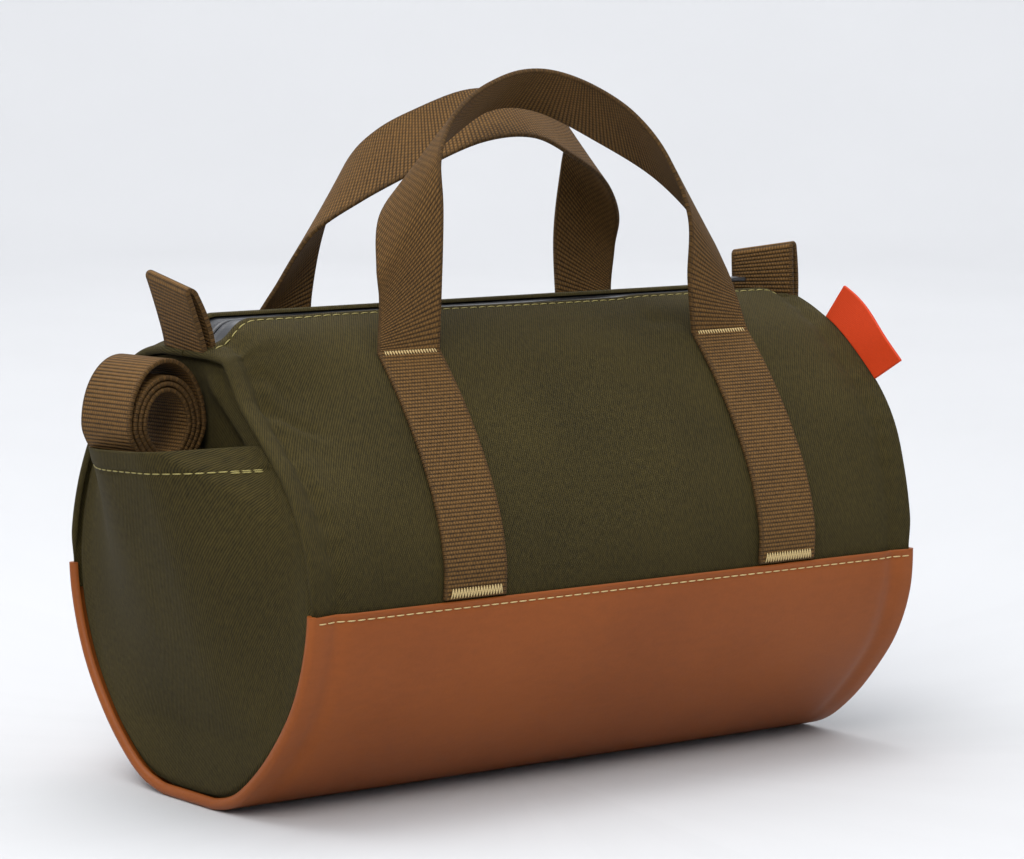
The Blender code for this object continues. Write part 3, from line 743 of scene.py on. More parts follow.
@dataclass
class Assembly:
    """Base of the bag's sub-assemblies."""

    form: BodyForm
    sewing: Sewing

    def hand_over(
        self,
        piece: Piece,
        material: Material,
        slot: str,
        stands_for: Sequence[str] = (),
        body: str = "bag",
        angle: float = 50,
    ) -> None:
        """Shade a finished piece, give it its material and join it to the frame.

        Args:
            piece: The piece.
            material: Its material.
            slot: Not used.
            stands_for: Nodes that it replaces.
            body: The body that it rides on.
            angle: Edges sharper than this, in degrees, stay sharp.
        """
        choose(piece)
        bpy.ops.object.shade_smooth_by_angle(angle=radians(angle))
        piece.data.materials.clear()
        piece.data.materials.append(material)
        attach(piece, body)
        if stands_for:
            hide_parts(*stands_for)
        LOG.info("%s: %d faces", piece.name, len(piece.data.polygons))

    def sew_panel(
        self,
        name: str,
        points: Array,
        material: Material,
        slot: str,
        node: str,
        flat: Array | None = None,
        thickness: float | None = None,
    ) -> None:
        """Args:
            name: The piece's name.
            points: Rows and columns of its outer face.
            material: Its material.
            slot: The material slot, passed on to hand_over.
            node: The node that it replaces.
            flat: Places of the points on the flat cloth, or None to measure them along the grid.
            thickness: Thickness of the panel, or None for the fabric's.
        """
        panel = lay_cloth(name, points, flat)
        apply_modifier(panel, "SOLIDIFY", thickness=thickness or self.form.fabric, offset=-1.0)
        self.hand_over(panel, material, slot, [node])
        beside, above = np.diff(points, axis=1), np.diff(points, axis=0)
        width = float(np.linalg.norm(beside, axis=2).sum(axis=1).max())
        length = float(np.linalg.norm(above, axis=2).sum(axis=0).max())
        area = float(np.linalg.norm(np.cross(beside[:-1], above[:, :-1]), axis=2).sum())
        sides, area = (width, length), min(area, width * length)


@dataclass
class Sewing:
    """Threads: one stitch is modelled once, and each seam is a row of its copies."""

    thread: float = 0.00046
    pitch: float = 0.0038
    shown: float = 0.0029
    bow: float = 0.00022
    lift: float = 0.00012
    sunk: float = 0.6
    flatness: float = 0.8
    _stitch: tuple[Array, list[tuple[int, ...]]] | None = None

    def stitch(self) -> tuple[Array, list[tuple[int, ...]]]:
        """One stitch of unit length and thickness along X, blunt at its ends.

        Returns:
            Its points and faces.
        """
        if self._stitch is None:
            choose()
            bpy.ops.mesh.primitive_uv_sphere_add(segments=8, ring_count=8, radius=0.5)
            model = bpy.context.object
            with editing():
                bpy.ops.transform.rotate(value=pi / 2, orient_axis="Y", center_override=(0, 0, 0))
            points = np.array([v.co[:] for v in model.data.vertices])
            slim = np.sqrt(np.maximum(1 - (2 * points[:, 0]) ** 2, 1e-9))
            fuller = (1 - (2 * points[:, 0]) ** 6) / np.maximum(slim, 0.1)
            points[:, 1:] *= np.clip(fuller, 0.0, 1.6)[:, None]
            self._stitch = points, [tuple(p.vertices) for p in model.data.polygons]
            bpy.data.objects.remove(model, do_unlink=True)
        return self._stitch

    def threads(self, name: str, starts: Array, ends: Array, normals: Array) -> Piece:
        """Copies of the stitch, each between two points.

        Args:
            name: The piece's name.
            starts: Where each stitch comes up.
            ends: Where it goes down.
            normals: Out of the cloth at each stitch.

        Returns:
            All the stitches as one piece.
        """
        shape, faces = self.stitch()
        points, polygons, flat = [], [], []
        for start, end, normal in zip(starts, ends, unit(normals)):
            along = end - start
            length = np.linalg.norm(along) + self.sunk * self.thread
            ahead = along / np.linalg.norm(along)
            beside = unit(np.cross(normal, ahead))
            rise = self.bow * (1 - 4 * shape[:, 0] ** 2) + shape[:, 2] * self.thread * self.flatness
            base = len(points) * len(shape)
            copy = (start + end) / 2 + np.outer(shape[:, 0] * length, ahead)
            copy = copy + np.outer(rise, np.cross(ahead, beside))
            points.append(copy + np.outer(shape[:, 1] * self.thread, beside))
            flat.append(np.stack([shape[:, 1] * self.thread, shape[:, 0] * length], axis=1))
            polygons += [tuple(i + base for i in face) for face in faces]
        mesh = bpy.data.meshes.new(name)
        mesh.from_pydata(np.concatenate(points).tolist(), [], polygons)
        layer = mesh.uv_layers.new(name="UVMap")
        corners = np.array([loop.vertex_index for loop in mesh.loops])
        layer.data.foreach_set("uv", np.concatenate(flat)[corners].reshape(-1))
        piece = bpy.data.objects.new(name, mesh)
        bpy.context.scene.collection.objects.link(piece)
        return piece

    def seam(self, name: str, path: Array, normals: Array) -> Piece:
        """A row of running stitches along a path.

        Args:
            name: The piece's name.
            path: Points of the seam on the cloth.
            normals: Out of the cloth at each point.

        Returns:
            The row of stitches.
        """
        run = run_along(path)
        count = int(run[-1] / self.pitch)
        first = (run[-1] - (count - 1) * self.pitch - self.shown) / 2
        begin = first + self.pitch * np.arange(count)
        out = sample(normals, run, begin + self.shown / 2)
        starts, ends = (sample(path, run, begin + step) + out * self.lift for step in (0.0, self.shown))
        return self.threads(name, starts, ends, out)


@dataclass
class LeatherBase(Assembly):
    """Lower half of the barrel, with a folded top edge and a row of stitches along it."""

    stitch_below: float = 0.0024
    stitch_in: float = 0.0022
    fold_radius: float = 0.0008
    fold_drop: float = 0.00056
    channel: float = 0.00028
    channel_width: float = 0.0008
    uneven: float = 0.00010

    def relief(self, x: Array, arc: Array) -> Array:
        """Height of the folded edge, the stitch channel and slow unevenness.

        Args:
            x: Places along the bag.
            arc: Distances round it.

        Returns:
            The height above the skin.
        """
        below = self.form.arc_at_height(self.form.leather_edge) - np.abs(arc)
        height = -self.channel * hump((below - self.stitch_below) / self.channel_width)
        height = height - self.fold_drop * rounded(below, self.fold_radius)
        slow = np.sin(x / 0.017 + 3.0 * np.sin(arc / 0.031)) * np.sin(arc / 0.023 + 1.2)
        return height + self.uneven * slow * ease((np.abs(arc) - 0.03) / 0.03) * ease(below / 0.01)

    def build(self) -> None:
        """Make the leather and its stitches."""
        form, thread = self.form, CREAM.material()
        edge = form.arc_at_height(form.leather_edge)
        near, fine = edge - 0.006, edge - 0.001
        half = spread((0.0, near, 0.0022), (near, fine, 0.0005), (fine, edge, 0.0002))
        arcs = np.concatenate([half[::-1], -half[1:]])
        points = form.panel(arcs, lambda station: 0 * station, self.relief)
        leather = LEATHER.material()
        self.sew_panel("base_leather", points, leather, "leather", "base_panel", thickness=form.leather)
        x = np.linspace(-1, 1, 160) * (form.half_length - self.stitch_in)
        for side in Side:
            arc = side.value * (edge - self.stitch_below) + 0 * x
            station = form.station(arc)
            path = form.skin(x, station, -self.relief(x, arc))
            seam = self.sewing.seam(f"leather_stitches_{side.name.lower()}", path, form.normals(x, station))
            self.hand_over(seam, thread, "leather")


class Crease(NamedTuple):
    """A short fold in the front: a groove between two places, with a ridge below it."""

    start_x: float
    start_z: float
    end_x: float
    end_z: float
    width: float
    depth: float

    def height(self, x: Array, z: Array) -> Array:
        """Height of the fold above the cloth, below zero in the groove.

        Args:
            x: Places along the bag.
            z: Heights of the places.

        Returns:
            The height there.
        """
        along, up = self.end_x - self.start_x, self.end_z - self.start_z
        size = float(np.hypot(along, up))
        far = ((x - self.start_x) * along + (z - self.start_z) * up) / size
        off = ((z - self.start_z) * along - (x - self.start_x) * up) / size
        taper = ease(far / (0.3 * size)) * ease((size - far) / (0.5 * size))
        ridge = hump((off + 2.2 * self.width) / (1.4 * self.width))
        return self.depth * taper * (0.7 * ridge - hump(off / self.width))


CREASES = (
    Crease(-0.1235, 0.1385, -0.1000, 0.1265, 0.0016, 0.0015),
    Crease(-0.1200, 0.1500, -0.1080, 0.1360, 0.0018, 0.0007),
    Crease(0.0400, 0.1570, 0.0620, 0.1545, 0.0020, 0.0006),
)


@dataclass
class WovenPanels(Assembly):
    """The two twill panels of the upper body, folded and topstitched along the zip."""

    zip_opening: float = 0.019
    zip_close: float = 0.0003
    close_length: float = 0.0065
    close_fade: float = 0.0040
    stitch_at: float = 0.0140
    stitch_left_in: float = 0.004
    stitch_right_in: float = 0.011
    channel: float = 0.00040
    channel_width: float = 0.0009
    hem_rise: float = 0.00022
    fold_radius: float = 0.0009
    fold_drop: float = 0.00072
    pucker: float = 0.00022
    pucker_pitch: float = 0.0095
    uneven: float = 0.00028
    tuck_groove: float = 0.0014
    tuck_ridge: float = 0.0009

    def __post_init__(self) -> None:
        """Measure the distances round the middle section to the topstitching and the fold."""
        self.stitch = self.form.arc_at_depth(self.stitch_at)
        self.fold = self.form.arc_at_depth(self.zip_opening / 2)

    def relief(self, x: Array, arc: Array) -> Array:
        """Height of the folded edge, its stitching, the seam puckers, creases and slow unevenness.

        Args:
            x: Places along the bag.
            arc: Distances round it.

        Returns:
            The height above the skin.
        """
        away = np.abs(arc)
        below, off_stitch = self.fold - away, away - self.stitch
        height = -self.channel * hump(off_stitch / self.channel_width)
        height = height + self.hem_rise * ease(off_stitch / 0.0012) * ease(below / 0.0008)
        height = height - self.fold_drop * rounded(below, self.fold_radius)
        end = self.form.half_length - np.abs(x)
        near_seam = hump((end - 0.009) / 0.007) * ease((away - 0.10) / 0.03)
        wave = np.sin(2 * pi * arc / self.pucker_pitch + 2.0 * np.sin(arc / 0.013))
        height = height + self.pucker * near_seam * wave * ease(below / 0.006)
        slow = np.sin(x / 0.021 + 2.0 * np.sin(arc / 0.027)) * np.sin(arc / 0.019 + 0.7 * np.sin(x / 0.033))
        inside = ease((away - 0.105) / 0.02) * ease(-off_stitch / 0.012)
        height = height + self.uneven * slow * inside
        z = self.form.section(x, self.form.station(arc))[1]
        corner = np.where((x < 0) & (arc < 0), ease((z - 0.095) / 0.02) * ease(below / 0.01), 0.0)
        height = height - self.tuck_groove * hump((end - 0.0088) / 0.0021) * corner
        height = height + self.tuck_ridge * hump((end - 0.0135) / 0.0028) * corner
        return height + sum(np.where(arc < 0, crease.height(x, z), 0.0) for crease in CREASES)

    def reach(self, x: Array, arc: Array) -> Array:
        """Draw the panel's edge to the middle at both ends, where it closes over the zip.

        Args:
            x: Places along the bag.
            arc: Distances round it.

        Returns:
            The distances with the edge drawn in.
        """
        near = self.form.arc_at_depth(self.zip_close)
        share = ease((np.abs(x) - self.form.half_length + self.close_length) / self.close_fade)
        upper = np.clip((np.abs(arc) - self.stitch) / (self.fold - self.stitch), 0.0, 1.0)
        return arc + np.sign(arc) * share * upper * (near - self.fold)

    def build(self) -> None:
        """Make both panels and their topstitching."""
        form, stitch, fold = self.form, self.stitch, self.fold
        tuck = form.arc_at_height(form.leather_edge - form.leather_overlap)
        rising = spread(
            (tuck, stitch - 0.003, 0.0016),
            (stitch - 0.003, stitch + 0.003, 0.00045),
            (stitch + 0.003, fold, 0.00045),
            (fold - 0.0008, fold, 0.0002),
        )
        twill, thread = TWILL.material(), KHAKI.material()
        x = np.linspace(self.stitch_left_in - form.half_length, form.half_length - self.stitch_right_in, 200)
        for side in Side:
            name = side.name.lower()
            arcs = rising[::-1] if side is Side.BACK else -rising
            points = form.panel(arcs, form.fabric_inset, self.relief, self.reach)
            self.sew_panel(f"{name}_twill", points, twill, "woven_fabric", f"{name}_panel")
            arc = side.value * stitch + 0 * x
            station = form.station(arc)
            path = form.skin(x, station, form.fabric_inset(station) - self.relief(x, arc))
            seam = self.sewing.seam(f"top_stitches_{name}", path, form.normals(x, station))
            self.hand_over(seam, thread, "woven_fabric")


@dataclass
class Ends(Assembly):
    """The end panels behind the rims, and the pocket on the left one with its hem."""

    end_seam: float = 0.0009
    dent: float = 0.0032
    dent_from: float = 0.085
    dent_fade: float = 0.020
    soft_fold: float = 0.0030
    fold_in: float = 0.0125
    fold_width: float = 0.0052
    hem_height: float = 0.1200
    hem_rise: float = 0.0045
    hem_depth: float = 0.0070
    hem_relief: float = 0.00045
    hem_channel: float = 0.0004
    hem_drop: float = 0.0008
    hem_radius: float = 0.0009
    uneven: float = 0.0005
    roll_out: float = 0.0122
    roll_width: float = 0.0172
    pocket_ease: float = 0.0005
    bulge_at: float = -0.010
    bulge_flat: float = 0.009
    bulge_front: float = 0.048
    bulge_back: float = 0.070
    pocket_foot: float = 0.025
    pocket_margin: float = 0.0022
    pocket_start: float = 0.010
    puff: float = 0.0012
    puff_uneven: float = 0.0003
    seam_depth: float = 0.0016
    seam_width: float = 0.0015

    def __post_init__(self) -> None:
        """Measure the outline of both end openings, by end (-1 left, 1 right) and side."""
        form = self.form
        self.seat = form.rim_radius + GAP
        self.hidden = form.leather + form.fabric + 2 * GAP + self.end_seam
        stations = np.linspace(0.8, TOP - 1.2, 160)
        self.outline: dict[tuple[int, int], Array] = {}
        for key in ((-1, -1), (-1, 1), (1, -1), (1, 1)):
            points = form.skin(key[0] * form.half_length, key[1] * stations, self.hidden, channels=False)
            self.outline[key] = points[:, ::-1].T

    def edge(self, end: int, face: int, level: Array) -> Array:
        """Y of an end opening's outline on one side, at a height."""
        return np.interp(level, *self.outline[end, face][:2])

    def limits(self, end: int) -> tuple[float, float]:
        """Lowest and highest level that both sides of an end's outline have."""
        heights = [self.outline[end, face][0] for face in (-1, 1)]
        return max(side.min() for side in heights), min(side.max() for side in heights)

    def room(self, end: int, y: Array, level: Array) -> Array:
        """Distance from the nearer side of the outline, less the rim and a margin.

        Args:
            end: -1 for the left end, 1 for the right.
            y: Places across the end.
            level: Heights.

        Returns:
            The distance.
        """
        rooms = []
        for face in (-1, 1):
            here, above = (self.edge(end, face, level + step) for step in (0.0, GAP))
            slant = (above - here) / GAP
            rooms.append(np.abs(y - here) / np.sqrt(1 + slant * slant))
        return np.minimum(*rooms) - (2 * self.form.rim_radius + self.pocket_margin - self.hidden)

    def groove(self, end: int, y: Array, level: Array) -> Array:
        """Depth of the groove that the seam draws beside the rim."""
        return self.seam_depth * hump((self.room(end, y, level) + self.pocket_margin) / self.seam_width)

    def cover(self, end: int, name: str, node: str, level: Array, depth: Field, twill: Material) -> None:
        """Sew a panel across an end, its weave as seen face on.

        Args:
            end: -1 for the left end, 1 for the right.
            name: The piece's name.
            node: The node that it replaces.
            level: Height of each point of the grid.
            depth: How far in from the bag's end the outer face lies.
            twill: Its material.
        """
        across = (1 - np.cos(np.linspace(0, pi, level.shape[1]))) / 2
        front, back = self.edge(end, -1, level), self.edge(end, 1, level)
        y = front + (back - front) * across
        points = np.stack([end * (self.form.half_length - depth(y, level)), y, level], axis=-1)
        points = points if end > 0 else points[:, ::-1]
        flat = np.stack([points[..., 1] * end, points[..., 2]], axis=-1)
        self.sew_panel(name, points, twill, "woven_fabric", node, flat)

    def levels(self, end: int, steps: int) -> Array:
        """Heights of a full end panel's grid, closest together near its ends."""
        low, high = self.limits(end)
        share = (1 - np.cos(np.linspace(0, pi, steps + 1))) / 2
        return np.repeat((low + (high - low) * share)[:, None], steps + 1, axis=1)

    def puffed(self, y: Array, level: Array) -> Array:
        """Depth of the plain end's face, which swells a little between its seams."""
        swell = ease((self.room(1, y, level) + 0.003) / 0.020)
        wave = np.sin(y / 0.016 + 1.5 * np.sin(level / 0.021)) * np.sin(level / 0.019)
        return self.seat - self.puff * swell - self.puff_uneven * wave * swell + self.groove(1, y, level)

    def dented(self, y: Array, level: Array) -> Array:
        """Depth of the left end's face, pressed in where the rolled strap stands.

        Args:
            y: Places across the end.
            level: Heights.

        Returns:
            How far in from the bag's end the face lies.
        """
        room = np.minimum(self.room(-1, y, level), (self.limits(-1)[1] - level) / 2)
        rise = ease((level - self.dent_from) / self.dent_fade)
        front = np.abs(y - self.edge(-1, -1, level))
        fold = self.soft_fold * hump((front - self.fold_in) / self.fold_width)
        fold = fold * ease((level - 0.100) / 0.018) * ease((0.150 - level) / 0.012)
        wave = self.uneven * np.sin(y / 0.0052 + 1.0) * rise * ease(room / 0.006)
        deeper = self.seat + self.form.fabric + GAP + self.dent * ease(room / self.pocket_start) * rise
        return deeper + wave - fold + 0.5 * self.groove(-1, y, level)

    def hem(self, share: Array) -> Array:
        """Height of the pocket's hem, highest at the front, at shares of the way across."""
        return self.hem_height + self.hem_rise * (1 - share) ** 2

    def pocket(self, y: Array, level: Array) -> Array:
        """Depth of the pocket's face, bulged round the rolled strap, with its doubled hem.

        Args:
            y: Places across the end.
            level: Heights.

        Returns:
            How far in from the bag's end the face lies, below zero where it stands out.
        """
        grow = np.maximum((level - self.pocket_foot) / (self.hem_height - self.pocket_foot), 0.0)
        off = y - self.bulge_at
        fade = np.where(off < 0, self.bulge_front, self.bulge_back)
        swell = np.cos(pi / 2 * np.clip((np.abs(off) - self.bulge_flat) / fade, 0.0, 1.0)) ** 2
        bulge = self.seat + self.roll_out + self.roll_width + self.pocket_ease
        room = self.room(-1, y, level)
        bulged = self.seat - bulge * grow * swell * ease(room / self.pocket_start)
        front, back = self.edge(-1, -1, level), self.edge(-1, 1, level)
        below = self.hem((y - front) / (back - front)) - level
        stand = self.hem_relief * ease((self.hem_depth - below) / 0.0012)
        channel = self.hem_channel * hump((below - self.hem_depth) / 0.0010)
        edge = self.hem_drop * rounded(below, self.hem_radius)
        wave = self.uneven * np.sin(y / 0.011 + 0.8 * np.sin(level / 0.017)) * np.sin(level / 0.024 + 0.5)
        shape = bulged + (channel + edge - stand + wave) * ease(room / 0.003 + 1.0)
        return shape + 0.7 * self.groove(-1, y, level)

    def hem_seam(self, name: str, first: float, last: float, lower: float, thread: Material) -> None:
        """Sew running stitches below the pocket's hem.

        Args:
            name: The piece's name.
            first: Where they begin, as a share of the way across from the front.
            last: Where they end.
            lower: How far below the hem's seam line they run.
            thread: Their material.
        """
        share = np.linspace(first, last, 260)
        level = self.hem(share) - self.hem_depth - lower
        front, back = self.edge(-1, -1, level), self.edge(-1, 1, level)
        y = front + (back - front) * share
        path = np.stack([-(self.form.half_length - self.pocket(y, level)), y, level], axis=1)
        normals = unit(np.cross(unit(np.gradient(path, axis=0)), UP))
        normals *= np.where(normals[:, :1] > 0, -1, 1)
        self.hand_over(self.sewing.seam(name, path, normals), thread, "woven_fabric")

    def build(self) -> None:
        """Make both end panels, the pocket and its stitches."""
        twill, thread = TWILL.material(), KHAKI.material()
        self.cover(1, "right_end_twill", "end_panel_right", self.levels(1, 70), self.puffed, twill)
        self.cover(-1, "left_end_twill", "end_panel_left", self.levels(-1, 80), self.dented, twill)
        low = self.limits(-1)[0]
        rise = np.sin(pi / 2 * np.linspace(0, 1, 111))[:, None]
        level = low + (self.hem((1 - np.cos(np.linspace(0, pi, 131))) / 2) - low) * rise
        self.cover(-1, "pocket_twill", "end_pocket", level, self.pocket, twill)
        self.hem_seam("hem_stitches", 0.045, 0.955, 0.0, thread)
        self.hem_seam("hem_back_tack", 0.040, 0.115, 0.0005, thread)


@dataclass
class Zip(Assembly):
    """The two coated tapes, the coil below them, the slider and its pull tab."""

    tape: float = 0.0010
    tape_width: float = 0.015
    line: float = 0.0007
    lip: float = 0.00035
    lip_in: float = 0.0014
    lip_width: float = 0.0011
    edge_radius: float = 0.0007
    edge_drop: float = 0.0006
    plate: float = 0.0018
    nose_waist: float = 0.30
    tail_waist: float = 0.12
    arch_radius: float = 0.0034
    arch_wire: float = 0.00065
    arch_stretch: float = 1.6
    tab_thickness: float = 0.0013
    tab_corner: float = 0.0014
    eye_in: float = 0.0034
    eye_size: Place = (0.0022, 0.00155, 1.0)
    grip_in: float = 0.0040
    grip_size: Place = (0.0034, 0.0017, 0.00105)

    def __post_init__(self) -> None:
        """Measure the distance round the middle section to the tapes' inner edges."""
        self.near = self.form.arc_at_depth(self.line / 2)

    def relief(self, x: Array, arc: Array) -> Array:
        """Height of the tape's curled inner edge.

        Args:
            x: Places along the bag.
            arc: Distances round it.

        Returns:
            The height above the flat tape.
        """
        inner = self.near - np.abs(arc)
        curl = self.lip * hump((inner - self.lip_in) / self.lip_width)
        return curl - self.edge_drop * rounded(inner, self.edge_radius) + 0 * x

    def tapes(self) -> None:
        """Make the two tapes."""
        far, near = self.form.arc_at_depth(self.tape_width), self.near
        rising = spread((far, near - 0.003, 0.0011), (near - 0.003, near, 0.00025))
        inset = self.form.fabric_rest + self.form.fabric + GAP
        film = TAPE.material()
        for side in Side:
            name = side.name.lower()
            arcs = rising[::-1] if side is Side.BACK else -rising
            points = self.form.panel(arcs, lambda station: inset + 0 * station, self.relief)
            tape = lay_cloth(f"coated_tape_{name}", points)
            apply_modifier(tape, "SOLIDIFY", thickness=self.tape, offset=-1.0)
            self.hand_over(tape, film, "zip_tape", [f"zip_tape_{name}"])

    def slider(self) -> None:
        """Make the slider: a waisted plate with a bridge that the tab hangs in."""
        low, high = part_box("zip_slider")
        x, y, _ = ((a + b) / 2 for a, b in zip(low, high))
        choose()
        bpy.ops.mesh.primitive_cube_add(size=1, location=(x, y, low[2] + self.plate / 2))
        body = stretched("slider_body", (high[0] - low[0], high[1] - low[1], self.plate))
        with editing():
            bpy.ops.mesh.subdivide(number_cuts=3)
        for vertex in body.data.vertices:
            far = (vertex.co.x - x) / ((high[0] - low[0]) / 2)
            waist = 1 - self.nose_waist * max(far, 0.0) ** 2 - self.tail_waist * max(-far, 0.0) ** 2
            vertex.co.y = y + (vertex.co.y - y) * waist
        apply_modifier(body, "BEVEL", width=0.00035, segments=2, limit_method="ANGLE")
        choose()
        bpy.ops.mesh.primitive_torus_add(
            major_radius=self.arch_radius,
            minor_radius=self.arch_wire,
            major_segments=36,
            minor_segments=12,
            location=(x, y, high[2] - self.arch_radius - self.arch_wire),
            rotation=(pi / 2, 0, 0),
        )
        arch = stretched("slider_arch", (1.0, 1.0, self.arch_stretch))
        with editing():
            cut = (x, y, low[2] + self.plate - GAP)
            bpy.ops.mesh.bisect(plane_co=cut, plane_no=(0, 0, 1), use_fill=True, clear_inner=True)
        choose(body, arch)
        bpy.ops.object.join()
        self.hand_over(body, METAL.material(), "slider", ["zip_slider"], angle=40)

    def puller(self) -> None:
        """Make the pull tab: a rounded plate with an eye at one end and a raised grip."""
        low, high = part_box("zip_puller")
        x, y, z = ((a + b) / 2 for a, b in zip(low, high))
        choose()
        bpy.ops.mesh.primitive_cube_add(size=1, location=(x, y, z))
        tab = stretched("pull_tab", (high[0] - low[0], high[1] - low[1], self.tab_thickness))
        with editing("DESELECT"):
            bpy.ops.mesh.select_mode(type="EDGE")
        for edge in tab.data.edges:
            a, b = (tab.data.vertices[i].co for i in edge.vertices)
            edge.select = abs(a.z - b.z) > self.tab_thickness / 2
        bpy.ops.object.mode_set(mode="EDIT")
        bpy.ops.mesh.bevel(offset=self.tab_corner, segments=5)
        bpy.ops.object.mode_set(mode="OBJECT")
        choose()
        eye = (low[0] + self.eye_in, y, z)
        bpy.ops.mesh.primitive_cylinder_add(vertices=28, radius=1, depth=0.006, location=eye)
        hole = stretched("pull_tab_eye", self.eye_size)
        apply_modifier(tab, "BOOLEAN", operation="DIFFERENCE", object=hole)
        bpy.data.objects.remove(hole, do_unlink=True)
        apply_modifier(tab, "BEVEL", width=0.00022, segments=2, limit_method="ANGLE")
        choose()
        grip = (high[0] - self.grip_in, y, z)
        bpy.ops.mesh.primitive_uv_sphere_add(segments=24, ring_count=12, radius=1, location=grip)
        choose(tab, stretched("pull_tab_grip", self.grip_size))
        bpy.ops.object.join()
        self.hand_over(tab, METAL.material(), "slider", ["zip_puller"], body="puller", angle=40)

    def build(self) -> None:
        """Make the zip."""
        self.tapes()
        self.slider()
        self.puller()
        coil = bpy.data.objects["zip_coil"].data
        coil.materials.clear()
        coil.materials.append(COIL.material())


class TabShape(NamedTuple):
    """Place of an end tab's foot, and the heights of its front and rear selvedges."""

    foot_x: float
    turn: float
    lean: float
    front_foot: float
    rear_foot: float
    front_top: float
    rear_top: float


TABS = {
    "tab_left": TabShape(-0.1260, 0.0, -0.0080, 0.1500, 0.1530, 0.1736, 0.1783),
    "tab_right": TabShape(0.1240, radians(23), -0.0018, 0.1570, 0.1575, 0.1792, 0.1752),
}


